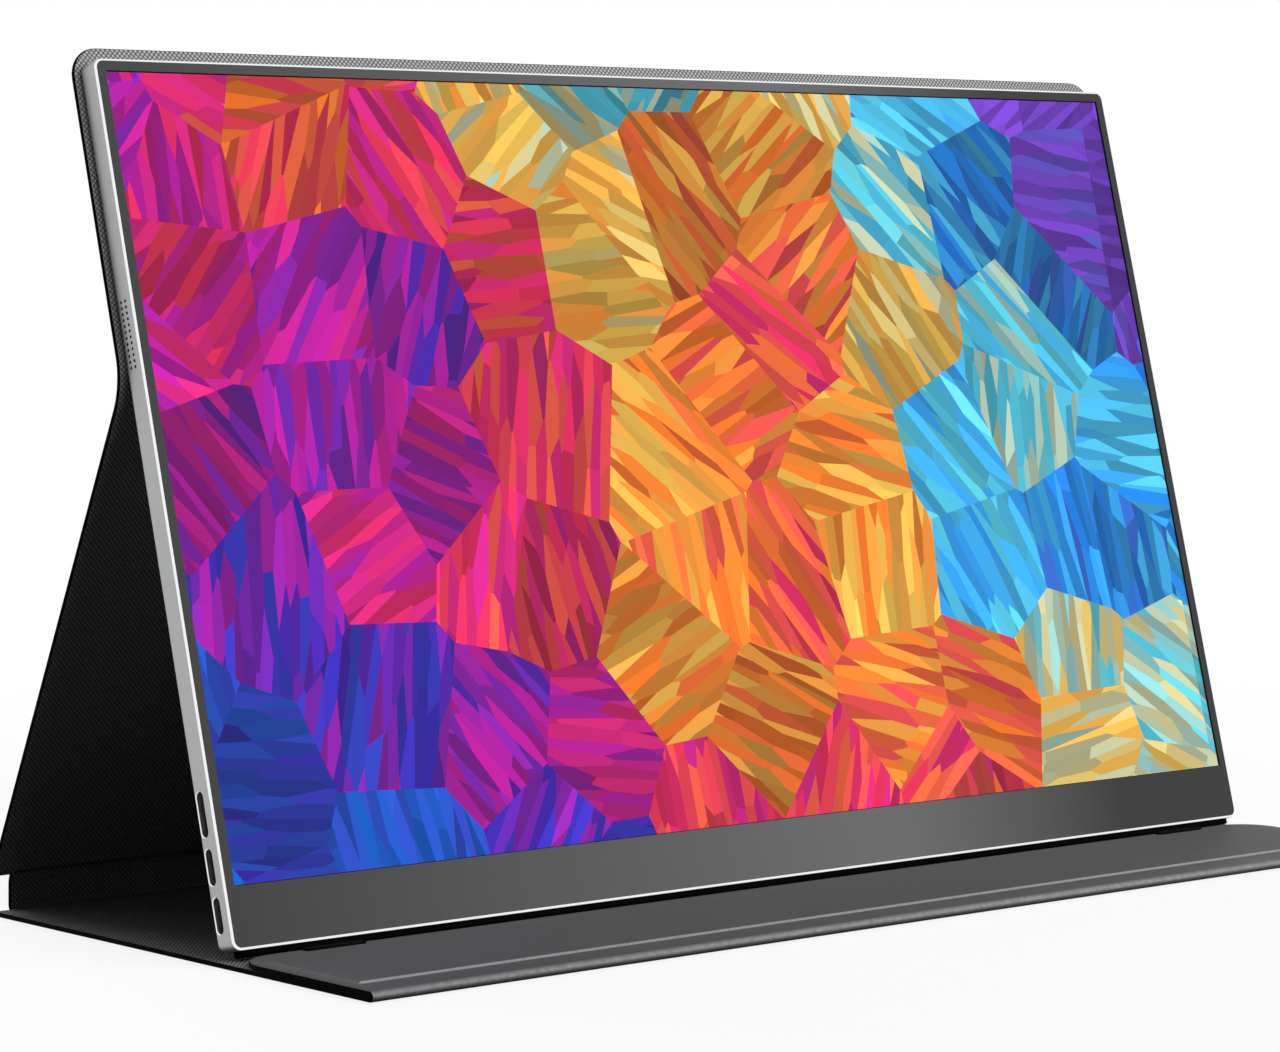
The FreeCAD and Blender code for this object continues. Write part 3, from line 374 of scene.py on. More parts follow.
def new_material(name):
    """Material with one Principled shader, its nodes and its object coordinates."""
    material = bpy.data.materials.new(name)
    material.use_nodes = True
    tree = material.node_tree
    return material, tree, node(tree, "ShaderNodeTexCoord").outputs["Object"]


def grained_material(name, scale):
    """Material with a fine grain of a scale on it."""
    material, tree, place = new_material(name)
    return material, tree, place, use_group(tree, "fine_grain", Vector=place, Scale=scale)


def dress(tree, grain, colour, rough, depth, height=None, strength=1.0, specular=0.5, metallic=0.0):
    """Plug a material's shader, whose roughness and bump follow the grain unless they are given."""
    bump = node(tree, "ShaderNodeBump", {
        "Strength": strength, "Distance": depth, "Height": grain["Height"] if height is None else height})
    inputs = {
        "Base Color": colour,
        "Roughness": spread(tree, grain["Tone"], *rough) if isinstance(rough, tuple) else rough,
        "Specular IOR Level": specular,
        "Metallic": metallic,
        "Normal": bump.outputs["Normal"],
    }
    shader = tree.nodes["Principled BSDF"]
    for label, value in inputs.items():
        plug(tree, shader.inputs[label], value)
    return shader


def painted_light_of(tree):
    """Painted light and shade that the cover's meshes carry."""
    return node(tree, "ShaderNodeAttribute", attribute_name="wear").outputs["Fac"]


def lining_material(cover):
    """Woven lining with raised threads and painted shade between them, made darker still by the painted
    shade that its mesh carries.
    """
    _, tree, _, grain = grained_material("woven_lining", 900.0)
    flat = node(tree, "ShaderNodeUVMap", uv_map="cover_flat").outputs["UV"]
    threads = use_group(tree, "woven_threads", Vector=flat, Pitch=cover.thread_pitch)
    # The dark colour between the threads is painted shade; the crowns keep the lighter colour, faded at
    # random.
    dark, light, faded = [scaled(cover.lining_colour, share) for share in (0.34, 1.32, 1.12)]
    worn_and_painted_light = blend(tree, between(tree, grain["Tone"], 0.35, 0.7), light, faded)
    woven = blend(tree, threads["Crown"], dark, worn_and_painted_light)
    # Painted shade: the woven colour is scaled down by the share that the mesh carries.
    colour = vector_maths(tree, "SCALE", {0: woven, "Scale": painted_light_of(tree)})[0]
    rough = spread(tree, threads["Crown"], 0.8, 0.5)
    dress(tree, grain, colour, rough, 0.12 * MM, threads["Height"], specular=0.02)


def skin_material(cover):
    """Smooth satin skin with a fine pressed grain, with a painted highlight on its embossed steps and front
    edge and painted shade low on the front edge, as its mesh says.
    """
    _, tree, place, grain = grained_material("smooth_skin", 2200.0)
    pebbles = use_group(tree, "fine_grain", Vector=place, Scale=700.0)
    # A slightly darker tone for random change, then the colours of a painted highlight and of painted
    # shade.
    shade, highlight_colour, shadow_colour = [scaled(cover.skin_colour, share) for share in (0.94, 3.0, 0.08)]
    toned = blend(tree, between(tree, grain["Tone"], 0.3, 0.7), shade, cover.skin_colour)
    wear = painted_light_of(tree)
    # Painted highlight, mottled by a coarser grain, where the mesh's value is above zero; painted shade
    # where it is below zero.
    mottle = maths(tree, "MULTIPLY_ADD", pebbles["Height"], 0.7, 0.4)
    highlight_share = maths(tree, "MULTIPLY", between(tree, wear, 0.0, 1.0), mottle)
    highlighted = blend(tree, highlight_share, toned, highlight_colour)
    colour = blend(tree, between(tree, wear, 0.0, -1.0), highlighted, shadow_colour)
    dress(tree, grain, colour, (0.5, 0.62), 0.02 * MM, strength=0.6, specular=0.03)


def rubber_material(name, colour):
    """Matt moulded rubber."""
    material, tree, _, grain = grained_material(name, 3000.0)
    toned = blend(tree, grain["Tone"], scaled(colour, 0.75), colour)
    dress(tree, grain, toned, (0.6, 0.8), 0.02 * MM, specular=0.02)
    return material


def case_material(case):
    """Blasted aluminium with a polished rim round the front and bevels round the port slots."""
    material, tree, place, grain = grained_material("blasted_aluminium", 4200.0)
    spot = use_group(tree, "monitor_place", Vector=place)
    rim_start = MONITOR_DEPTH - 0.44 * MM
    rim_tilt = 1.1
    side_depth = 0.24 * MM
    sheet = 0.2 * MM
    blast_depth = 0.008 * MM
    rim = between(tree, spot["Out"], rim_start, rim_start + 0.06 * MM)
    outer = maths(tree, "LESS_THAN", spot["Across"], side_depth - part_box("rear_shell")[1].x)
    for port in PORTS:
        low, high = span(port, FOOT, UP)
        back, front = span(port, FOOT, OUT)
        slot = use_group(
            tree, "slot_rim", Up=spot["Up"], Out=spot["Out"], Middle=(low + high) / 2,
            Level=(back + front) / 2, Half=(high - low) / 2 - sheet, Radius=(front - back) / 2 - sheet)
        rim = maths(tree, "MAXIMUM", rim, maths(tree, "MULTIPLY", slot["Rim"], outer))
    blasted = blend(tree, grain["Tone"], scaled(case.metal_colour, 0.9), case.metal_colour)
    colour = blend(tree, rim, blasted, case.rim_colour)
    rough = node(tree, "ShaderNodeMix", {
        "Factor": rim, "A": spread(tree, grain["Tone"], 0.36, 0.46), "B": 0.14}, data_type="FLOAT")
    past_rim = maths(tree, "MAXIMUM", maths(tree, "SUBTRACT", spot["Out"], rim_start), 0.0)
    blast = maths(tree, "MULTIPLY", grain["Height"], maths(tree, "SUBTRACT", 1.0, rim))
    height = maths(tree, "MULTIPLY_ADD", past_rim, -rim_tilt / blast_depth, blast)
    dress(tree, grain, colour, rough.outputs[0], blast_depth, height, metallic=1.0)
    return material


def bezel_material(case):
    """Dark moulded frame with a painted reflection that makes it lighter towards the right of its middle.
    """
    material, tree, place, grain = grained_material("moulded_bezel", 5200.0)
    spot = use_group(tree, "monitor_place", Vector=place)
    # Painted reflection: a soft light band across the frame that peaks right of the middle.
    reflection_ends = (-215 * MM, 130 * MM)
    reflection_peak = 41 * MM
    reflection_slopes = [between(tree, spot["Across"], end, reflection_peak, "LINEAR") for end in reflection_ends]
    grain_and_reflection = maths(tree, "MULTIPLY_ADD", grain["Tone"], 0.06, maths(tree, "MINIMUM", *reflection_slopes))
    colour = blend(tree, grain_and_reflection, case.bezel_colour, scaled(case.bezel_colour, 3.4))
    dress(tree, grain, colour, (0.46, 0.58), 0.01 * MM, specular=0.05)
    return material


PICTURE_STOPS = (
    (0.0, linear(10, 104, 220)), (0.17, linear(60, 36, 178)), (0.29, linear(186, 22, 158)),
    (0.39, linear(236, 44, 92)), (0.49, linear(253, 124, 36)), (0.59, linear(255, 210, 92)),
    (0.7, linear(90, 210, 228)), (0.85, linear(18, 128, 230)), (1.0, linear(112, 62, 192)),
)


def picture_ramp(tree, along):
    """Colours of the picture along its slant."""
    ramp = node(tree, "ShaderNodeValToRGB", {"Fac": along})
    elements = ramp.color_ramp.elements
    while len(elements) < len(PICTURE_STOPS):
        elements.new(1.0)
    for element, (position, colour) in zip(elements, PICTURE_STOPS):
        element.position = position
        element.color = (*colour, 1)
    return ramp.outputs["Color"]


def picture_material(screen):
    """Lit screen with a mosaic of coloured shards under an anti-glare face, dark round its edge."""
    material, tree, place, grain = grained_material("lit_screen", 6000.0)
    spot = use_group(tree, "monitor_place", Vector=place)
    flat = node(tree, "ShaderNodeCombineXYZ", {0: spot["Across"], 1: spot["Up"]}).outputs[0]
    picture = use_group(tree, "picture_facets", Vector=flat, Facet=screen.facet_size)
    centre = node(tree, "ShaderNodeSeparateXYZ", {0: picture["Centre"]}).outputs
    drift = node(tree, "ShaderNodeTexNoise", {
        "Vector": picture["Centre"], "Scale": 9.0, "Detail": 1.0}, noise_dimensions="2D")
    along = maths(tree, "MULTIPLY_ADD", centre[0], 2.1, -0.09)
    for part, weight in ((centre[1], 1.6), (drift.outputs["Fac"], 0.7), (picture["Drift"], 0.12)):
        along = maths(tree, "MULTIPLY_ADD", part, weight, along)
    low = screen.lit_bottom
    aside = maths(tree, "ABSOLUTE", spot["Across"])
    spill = 0.15
    path = node(tree, "ShaderNodeLightPath").outputs
    lit = maths(tree, "MULTIPLY_ADD", path["Is Camera Ray"], 1 - spill, spill)
    for mask in (
            maths(tree, "LESS_THAN", aside, screen.lit_width / 2),
            maths(tree, "LESS_THAN", spot["Up"], low + screen.lit_height),
            maths(tree, "GREATER_THAN", spot["Up"], low),
            picture["Light"]):
        lit = maths(tree, "MULTIPLY", lit, mask)
    glow = vector_maths(tree, "SCALE", {0: picture_ramp(tree, along), "Scale": lit})[0]
    shader = dress(tree, grain, (0.004, 0.004, 0.005, 1), (0.35, 0.45), 0.004 * MM, specular=0.06)
    tree.links.new(glow, shader.inputs["Emission Color"])
    shader.inputs["Emission Strength"].default_value = screen.brightness
    return material


def plain_material(name, colour, rough=0.5, metallic=0.0, scale=2500.0, fade=0.25, depth=0.01 * MM):
    """Moulded, rolled or plated finish with a fine grain and a slow change of tone."""
    material, tree, _, grain = grained_material(name, scale)
    toned = blend(tree, grain["Tone"], scaled(colour, 1 - fade), colour)
    dress(tree, grain, toned, (max(rough - 0.08, 0.05), rough + 0.08), depth, metallic=metallic)
    return material


def port_material():
    """Stamped port shell, bright at its mouth and dark inside, where the darkness is painted shade."""
    material, tree, place, grain = grained_material("stamped_port", 3500.0)
    spot = use_group(tree, "monitor_place", Vector=place)
    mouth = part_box("usb_c_port_lower")[0].x
    # Painted shade: deeper than the mouth the shell turns dark and loses its metal.
    dark = between(tree, spot["Across"], mouth + 0.15 * MM, mouth + 1.2 * MM)
    bright = blend(tree, grain["Tone"], (0.5, 0.5, 0.51), (0.66, 0.66, 0.67))
    colour = blend(tree, dark, bright, (0.012, 0.012, 0.013))
    metallic = maths(tree, "SUBTRACT", 1.0, dark)
    dress(tree, grain, colour, (0.26, 0.38), 0.006 * MM, metallic=metallic)
    return material


def circuit_material():
    """Green solder mask with a faint net of tracks."""
    material, tree, place, grain = grained_material("solder_mask", 2500.0)
    tracks = node(tree, "ShaderNodeTexVoronoi", {"Vector": place, "Scale": 420.0},
                  distance="CHEBYCHEV", feature="DISTANCE_TO_EDGE").outputs["Distance"]
    lines = maths(tree, "SUBTRACT", 1.0, between(tree, tracks, 0.04, 0.1))
    green = blend(tree, grain["Tone"], (0.014, 0.09, 0.035), (0.025, 0.13, 0.055))
    dress(tree, grain, blend(tree, lines, green, (0.06, 0.24, 0.1)), (0.3, 0.45), 0.02 * MM, lines)
    return material


def striped_material(name, base, line, pitch):
    """Flat strip with even lines or lights across it."""
    material, tree, place, grain = grained_material(name, 2500.0)
    period = math.pi / 10
    bands = node(tree, "ShaderNodeTexWave", {
        "Vector": place, "Scale": period / pitch, "Distortion": 0.0}, bands_direction="X")
    toned = blend(tree, grain["Tone"], scaled(base, 0.85), base)
    mask = between(tree, bands.outputs["Fac"], 0.5, 0.75)
    dress(tree, grain, blend(tree, mask, toned, line), (0.44, 0.56), 0.02 * MM, mask)
    return material


def set_material(names, material):
    """Give solids of the frame one finish."""
    for name in names:
        slots = frame["nodes"][name].data.materials
        slots.clear()
        slots.append(material)


def fold_directions(angle):
    """Direction along a panel that is turned up by an angle, and the side of its lining."""
    return Vector((0, math.cos(angle), math.sin(angle))), Vector((0, -math.sin(angle), math.cos(angle)))


def panel_place(origin, angle):
    """Matrix from flat panel axes, lining up and hinge line at the origin, to the standing pose."""
    along, out = fold_directions(angle)
    return placing(origin - out * HINGE_LEVEL, ACROSS, along, out)


def outline_points(half, low, high, low_radius, high_radius, steps=8):
    """Points round a rectangle with round corners."""
    corners = (
        (low_radius - half, low + low_radius, low_radius, 180),
        (half - low_radius, low + low_radius, low_radius, 270),
        (half - high_radius, high - high_radius, high_radius, 0),
        (high_radius - half, high - high_radius, high_radius, 90),
    )
    points = []
    for x, y, radius, start in corners:
        for step in range(steps + 1):
            angle = math.radians(start + 90 * step / steps)
            points.append((x + radius * math.cos(angle), y + radius * math.sin(angle)))
    return points


def edge_profile(cover):
    """Rounded edge of a panel as inset, level and finish, from the lining round to the embossed border."""
    top = PANEL_THICKNESS
    middle = (top + cover.border_rise) / 2
    half = (top - cover.border_rise) / 2
    flatness = 0.6
    profile = [(share * half, top, LINING) for share in (1.6, 0.95, 0.6)]
    for finish, turns in ((LINING, (75,)), (EDGE, (55, 30, 0, -30, -55)), (SKIN, (-75, -90))):
        for degrees in turns:
            angle = math.radians(degrees)
            inset = flatness * half * (1 - math.cos(angle))
            profile.append((inset, middle + half * math.sin(angle), finish))
    return profile


def finish_mesh(name, form, materials, smooth_angle=38):
    """Turn a bmesh into an object with smooth faces, its sharp edges kept."""
    mesh = bpy.data.meshes.new(name)
    form.to_mesh(mesh)
    form.free()
    for material in materials:
        mesh.materials.append(material)
    mesh.polygons.foreach_set("use_smooth", [True] * len(mesh.polygons))
    mesh.set_sharp_from_angle(angle=math.radians(smooth_angle))
    mesh.update()
    piece = bpy.data.objects.new(name, mesh)
    bpy.context.scene.collection.objects.link(piece)
    return piece


def finish_cover(name, form):
    """Turn a bmesh of the cover into an object with the cover's finishes."""
    finishes = ("smooth_skin", "woven_lining", "dark_edge_and_shade")
    return finish_mesh(name, form, [bpy.data.materials[finish] for finish in finishes])


def stitch_rings(form, rings, finishes):
    """Faces between closed rings of points, with both ends closed."""
    rows = [[form.verts.new(point) for point in ring] for ring in rings]
    count = len(rows[0])
    for inner, outer, finish in zip(rows, rows[1:], finishes[1:]):
        for index in range(count):
            after = (index + 1) % count
            face = form.faces.new((inner[index], inner[after], outer[after], outer[index]))
            face.material_index = finish
    form.faces.new(rows[0]).material_index = finishes[0]
    form.faces.new(rows[-1][::-1]).material_index = finishes[-1]


def panel_form(cover, half, ends, radii, borders, slope, painted_shades, front_highlight):
    """Flat panel with rounded edges, an embossed border outside and a lining inside, with painted shade on
    the lining and painted highlights on the embossed steps.

    An end with a radius is a free edge, and one without runs on into a fold.
    """
    low, high = ends
    edge_bend = 0.05 * MM
    step_bend = 0.4 * MM
    rings = []
    painted_lights = []
    finishes = []
    for inset, level, finish in edge_profile(cover):
        reach = [inset if radius > 0 else 0.0 for radius in radii]
        bends = [max(radius - inset, edge_bend) if radius > 0 else 0.0 for radius in radii]
        points = outline_points(half - inset, low + reach[0], high - reach[1], *bends)
        rings.append([(x, y, level) for x, y in points])
        for _, y in points:
            share = (y - low) / (high - low)
            # Painted shade: the lining's share of colour runs from one end of the panel to the other.
            painted_lights.append(painted_shades[0] + (painted_shades[1] - painted_shades[0]) * share if finish == LINING else 0.0)
        finishes.append(finish)
    for place in (-2.2, -1.0, -0.5, 0.0, 0.5, 1.0, 2.2):
        aside = slope / 2 * place
        rise = min(max((place + 1) / 2, 0.0), 1.0)
        level = cover.border_rise * (1 - rise * rise * (3 - 2 * rise))
        inset = cover.edge_border + aside
        bends = [max(radius - inset, step_bend) for radius in radii]
        front = high - borders[1] - aside
        points = outline_points(half - inset, low + borders[0] + aside, front, *bends)
        rings.append([(x, y, level) for x, y in points])
        # Painted highlight along the embossed step, strongest in its middle.
        highlight_share = min(max(1.3 - 0.6 * abs(place), 0.0), 1.0)
        for _, y in points:
            at_front = y > front - 0.001 * MM
            painted_lights.append(highlight_share * (front_highlight if at_front else cover.side_highlight))
        finishes.append(SKIN)
    form = bmesh.new()
    layer = form.verts.layers.float.new("wear")
    stitch_rings(form, rings, finishes)
    for vertex, wear in zip(form.verts, painted_lights):
        vertex[layer] = wear
    bmesh.ops.remove_doubles(form, verts=form.verts, dist=0.002 * MM)
    bmesh.ops.recalc_face_normals(form, faces=form.faces)
    return form


def add_flat_map(form, start):
    """Map of the open cover, so that the weave runs on from panel to panel."""
    layer = form.loops.layers.uv.new("cover_flat")
    for face in form.faces:
        for loop in face.loops:
            loop[layer].uv = (loop.vert.co.x, loop.vert.co.y + start)


def swept_form(cover, half, stations):
    """Strip of the cover swept through stations: point, lining's side, flat place, painted light on the
    skin and painted shade on the lining.
    """
    profile = edge_profile(cover)
    loop = [(half - inset, level, finish) for inset, level, finish in profile]
    loop += [(inset - half, level, finish) for inset, level, finish in reversed(profile)]
    form = bmesh.new()
    worn_and_painted_light = form.verts.layers.float.new("wear")
    layer = form.loops.layers.uv.new("cover_flat")
    places = {}
    rows = []
    for point, out, flat, wear, fade in stations:
        row = []
        for x, level, finish in loop:
            vertex = form.verts.new(point + ACROSS * x + out * (level - HINGE_LEVEL))
            # Painted shade on the lining, and painted highlight and shade on the skin and edge.
            vertex[worn_and_painted_light] = fade if finish == LINING else wear
            places[vertex] = (x, flat)
            row.append(vertex)
        rows.append(row)
    count = len(loop)
    for first, second in zip(rows, rows[1:]):
        for index in range(count):
            after = (index + 1) % count
            face = form.faces.new((first[index], first[after], second[after], second[index]))
            finishes = (loop[index][2], loop[after][2])
            face.material_index = EDGE if EDGE in finishes else min(finishes)
    form.faces.new(rows[0][::-1])
    form.faces.new(rows[-1])
    for face in form.faces:
        for corner in face.loops:
            corner[layer].uv = places[corner.vert]
    bmesh.ops.recalc_face_normals(form, faces=form.faces)
    return form


def bend_stations(line, start_angle, turn, reach, laps, flat_line, painted_shades, steps=14):
    """Stations of a fold: a straight lap, an arc that meets both panels smoothly, and a lap."""
    radius = math.copysign(reach / math.tan(abs(turn) / 2), turn)
    before, first_out = fold_directions(start_angle)
    after, last_out = fold_directions(start_angle + turn)
    middle = line - before * reach + first_out * radius
    stations = []
    for step in range(steps + 1):
        share = step / steps
        _, out = fold_directions(start_angle + turn * share)
        flat = flat_line + reach * (2 * share - 1)
        # Painted shade on the lining, blended from one panel's share to the other's.
        fade = painted_shades[0] + (painted_shades[1] - painted_shades[0]) * share
        stations.append((middle - out * radius, out, flat, 0.0, fade))
    start, end = [reach + lap for lap in laps]
    if laps[0] > 0:
        stations.insert(0, (line - before * start, first_out, flat_line - start, 0.0, painted_shades[0]))
    if laps[1] > 0:
        stations.append((line + after * end, last_out, flat_line + end, 0.0, painted_shades[1]))
    return stations


PLAIN_FINISHES = (
    ("black_moulding", linear(26, 26, 27), {"rough": 0.45},
     ("headphone_jack", "tact_switches", "scaler_chip", "speaker_left", "speaker_right")),
    ("dust_mesh", linear(16, 16, 17), {"rough": 0.7, "scale": 4000.0}, ("speaker_meshes",)),
    ("soft_foam", linear(30, 30, 31), {"rough": 0.9, "scale": 1500.0, "fade": 0.4, "depth": 0.06 * MM},
     ("bezel_tape", "panel_foam")),
    ("white_film", linear(226, 227, 229), {"rough": 0.4, "scale": 900.0, "fade": 0.05},
     ("diffuser_films", "reflector_sheet")),
    ("clear_sheet", linear(214, 219, 224), {"rough": 0.15, "scale": 900.0, "fade": 0.06},
     ("light_guide",)),
    ("rolled_steel", (0.5, 0.5, 0.51), {"rough": 0.34, "metallic": 1.0, "scale": 1400.0, "fade": 0.15},
     ("panel_back_plate", "board_shield", "keeper_plates", "board_screws", "menu_rocker_pin")),
    ("frame_moulding", linear(38, 38, 40), {"rough": 0.5}, ("panel_frame",)),
    ("plated_magnet", (0.62, 0.6, 0.57), {"rough": 0.22, "metallic": 1.0, "scale": 1800.0, "fade": 0.12},
     ("flap_magnets", "rear_panel_magnets")),
    ("pressed_board", linear(122, 112, 98), {"rough": 0.85, "scale": 700.0, "fade": 0.3},
     ("base_board", "flap_board", "spine_board", "prop_board", "rear_panel_board")),
)


class FOLIO_OT_finishes(bpy.types.Operator):
    """Make the finishes of the cover and of every solid of the monitor"""

    bl_idname = "folio.finishes"
    bl_label = "Finishes"

    def execute(self, context):
        cover = context.scene.folio_cover
        case = context.scene.folio_case
        woven_threads_group()
        fine_grain_group()
        monitor_place_group()
        slot_rim_group()
        picture_facets_group()
        lining_material(cover)
        skin_material(cover)
        # The panels' near-black edge, whose darkness also stands in for shade on their sides.
        rubber_material("dark_edge_and_shade", cover.edge_colour)
        rubber_material("pad_rubber", linear(13, 13, 14))
        keys = plain_material("blasted_key", case.metal_colour, 0.42, 1.0, 4200.0, 0.1)
        lights = striped_material("light_row", linear(224, 222, 214), linear(250, 214, 96), 4 * MM)
        ribbon = striped_material("flat_cable", linear(206, 200, 186), linear(150, 120, 70), 0.5 * MM)
        set_material(["rear_shell"], case_material(case))
        set_material(["power_button", "menu_rocker"], keys)
        set_material(["front_bezel"], bezel_material(case))
        set_material(["lcd_cell"], picture_material(context.scene.folio_screen))
        set_material(["foot_strip"], rubber_material("foot_rubber", linear(7, 7, 8)))
        set_material(["speaker_leads"], rubber_material("lead_jacket", linear(34, 34, 36)))
        set_material(PORTS, port_material())
        set_material(["main_board", "button_board", "panel_driver_board"], circuit_material())
        set_material(["led_bar"], lights)
        set_material(["panel_cable", "button_cable"], ribbon)
        for name, colour, surface, solids in PLAIN_FINISHES:
            set_material(solids, plain_material(name, colour, **surface))
        return {"FINISHED"}


class FOLIO_OT_cover_panels(bpy.types.Operator):
    """Build the five panels of the cover with turned edges, embossed skin and woven lining"""

    bl_idname = "folio.cover_panels"
    bl_label = "Cover panels"

    def execute(self, context):
        cover = context.scene.folio_cover
        prop_along, _ = fold_directions(PROP_ANGLE)
        base_ends = (NOSE_FLAT, span("base_skin", SPINE_LINE, Vector((0, 1, 0)))[1])
        flap_ends = (span("flap_skin", NOSE, Vector((0, -1, 0)))[0], 0.0)
        fold = cover.fold_border
        narrow = cover.spine_border
        hinge = cover.hinge_radius
        # Each panel carries painted shade on its lining and painted highlights on its embossed steps; the
        # rear panel's lining shade lifts from the crease to full colour at the top.
        usual = (cover.emboss_slope, (cover.inner_shade, cover.inner_shade), cover.side_highlight)
        panels = (
            ("base", SPINE_LINE, 0.0, HALF_COVER, base_ends, (0, hinge), (cover.base_border, fold), 0.0,
             *usual),
            ("spine", SPINE_LINE, SPINE_ANGLE, HALF_SPINE,
             span("spine_skin", SPINE_LINE, Vector((0, 0, 1))), (0, 0), (narrow, narrow), 0.0, *usual),
            ("prop", PROP_LINE, PROP_ANGLE, HALF_COVER, span("prop_skin", PROP_LINE, prop_along),
             (hinge, 0), (fold, fold), SPINE_FLAT, *usual),
            ("rear_panel", CREASE_LINE, REAR_ANGLE, HALF_COVER, span("rear_panel_skin", CREASE_LINE, UP),
             (0, cover.corner_radius), (fold, cover.edge_border), CREASE_FLAT,
             cover.emboss_slope, (cover.crease_shade, 1.0), cover.side_highlight),
            ("flap", FLAP_LINE, math.pi, HALF_COVER, flap_ends, (cover.flap_radius, 0),
             (cover.edge_border, cover.flap_border), NOSE_FLAT,
             cover.flap_slope, (cover.inner_shade, cover.inner_shade), cover.front_highlight),
        )
        for body, line, angle, half, ends, radii, borders, flat, slope, painted_shades, front_highlight in panels:
            form = panel_form(cover, half, ends, radii, borders, slope, painted_shades, front_highlight)
            add_flat_map(form, flat)
            form.transform(panel_place(line, angle))
            piece = finish_cover(body + "_cover", form)
            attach(piece, body)
            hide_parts(body + "_skin", body + "_lining")
        return {"FINISHED"}


class FOLIO_OT_cover_folds(bpy.types.Operator):
    """Build the flexible folds between the panels, curved as they lie in this pose"""

    bl_idname = "folio.cover_folds"
    bl_label = "Cover folds"

    def execute(self, context):
        cover = context.scene.folio_cover
        hinge_reach = -span("base_skin", SPINE_LINE, Vector((0, 1, 0)))[1]
        crease_reach = span("rear_panel_skin", CREASE_LINE, UP)[0]
        lap = 1.2 * MM
        folds = (
            ("spine_base_fold", ("base", "spine"), HALF_SPINE, SPINE_LINE, 0.0, SPINE_ANGLE, hinge_reach,
             (lap, 0), 0.0, cover.inner_shade),
            ("spine_prop_fold", ("spine", "prop"), HALF_SPINE, PROP_LINE, SPINE_ANGLE,
             PROP_ANGLE - SPINE_ANGLE, hinge_reach, (0, lap), SPINE_FLAT, cover.inner_shade),
            ("crease_fold", ("prop", "rear_panel"), HALF_COVER, CREASE_LINE, PROP_ANGLE,
             REAR_ANGLE - PROP_ANGLE, crease_reach, (0, 0), CREASE_FLAT, cover.crease_shade),
        )
        for name, bodies, half, line, angle, turn, reach, laps, flat, end_shade in folds:
            # Painted shade on each fold's lining, from the inner share to the share at its far end.
            painted_shades = (cover.inner_shade, end_shade)
            form = swept_form(cover, half, bend_stations(line, angle, turn, reach, laps, flat, painted_shades))
            piece = finish_cover(name + "_skin", form)
            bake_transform(piece)
            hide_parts(name)
        self.nose(cover)
        return {"FINISHED"}

    def nose(self, cover, steps=16):
        """Round front edge from the base to the folded flap, with painted shade below and a painted
        highlight above.
        """
        # Painted shade over the lower part of the round edge, and a painted highlight over its upper part.
        shade_end, shade_reach = 0.52, 0.26
        brightest, highlight_reach, highlight_strength = 0.61, 0.4, 0.7
        stations = []
        for step in range(steps + 1):
            share = step / steps
            angle = -math.pi / 2 - math.pi * share
            away = Vector((0, math.cos(angle), math.sin(angle)))
            point = NOSE + away * (NOSE.z - HINGE_LEVEL)
            shade_share = min(max((shade_end - share) / shade_reach, 0.0), 1.0)
            highlighted = max(1 - abs(share - brightest) / highlight_reach, 0.0)
            wear = highlight_strength * cover.front_highlight * highlighted - shade_share
            stations.append((point, -away, NOSE_FLAT, wear, cover.inner_shade))
        piece = finish_cover("flap_fold_skin", swept_form(cover, HALF_COVER, stations))
        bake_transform(piece)
        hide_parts("flap_fold")


PAD_PROFILE = ((0, 1.15), (0, 0.4), (0.05, 0.2), (0.15, 0.07), (0.3, 0.01), (0.6, 0.0))


class FOLIO_OT_stop_pads(bpy.types.Operator):
    """Build the two raised pads at the free edge of the flap"""

    bl_idname = "folio.stop_pads"
    bl_label = "Stop pads"

    def execute(self, context):
        low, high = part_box("flap_stop_pads")
        width = high.y - low.y
        pads = [vertex.co.x for vertex in frame["nodes"]["flap_stop_pads"].data.vertices]
        form = bmesh.new()
        for side in (-1, 1):
            reach = [x for x in pads if x * side > 0]
            middle = (min(reach) + max(reach)) / 2
            half = (max(reach) - min(reach)) / 2
            rings = []
            for inset, drop in PAD_PROFILE:
                away = inset * width / 2
                radius = width / 2 - away
                points = outline_points(half - away, low.y + away, high.y - away, radius, radius, 6)
                level = high.z - drop * (high.z - low.z)
                rings.append([(middle + x, y, level) for x, y in points])
            stitch_rings(form, rings, [0] * len(rings))
        bmesh.ops.recalc_face_normals(form, faces=form.faces)
        piece = finish_mesh("flap_pads", form, [bpy.data.materials["pad_rubber"]])
        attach(piece, "flap")
        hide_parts("flap_stop_pads")
        return {"FINISHED"}


def contact_row_tree(material):
    """Geometry nodes for one row of flat contacts."""
    tree = bpy.data.node_groups.new("contact_row", "GeometryNodeTree")
    tree.interface.new_socket("Geometry", in_out="OUTPUT", socket_type="NodeSocketGeometry")
    tree.interface.new_socket("Count", in_out="INPUT", socket_type="NodeSocketInt")
    for label in ("Pitch", "Length", "Width", "Thickness"):
        tree.interface.new_socket(label, in_out="INPUT", socket_type="NodeSocketFloat")
    start = tree.nodes.new("NodeGroupInput").outputs
    step = node(tree, "ShaderNodeCombineXYZ", {"Y": start["Pitch"]}).outputs[0]
    line = node(tree, "GeometryNodeMeshLine", {"Count": start["Count"], "Offset": step}).outputs["Mesh"]
    size = node(tree, "ShaderNodeCombineXYZ", {
        "X": start["Length"], "Y": start["Width"], "Z": start["Thickness"]}).outputs[0]
    bar = node(tree, "GeometryNodeMeshCube", {"Size": size}).outputs["Mesh"]
    copies = node(tree, "GeometryNodeInstanceOnPoints", {"Points": line, "Instance": bar}).outputs[0]
    real = node(tree, "GeometryNodeRealizeInstances", {"Geometry": copies}).outputs[0]
    paint = node(tree, "GeometryNodeSetMaterial", {"Geometry": real, "Material": material}).outputs[0]
    node(tree, "NodeGroupOutput", {"Geometry": paint})
    return tree


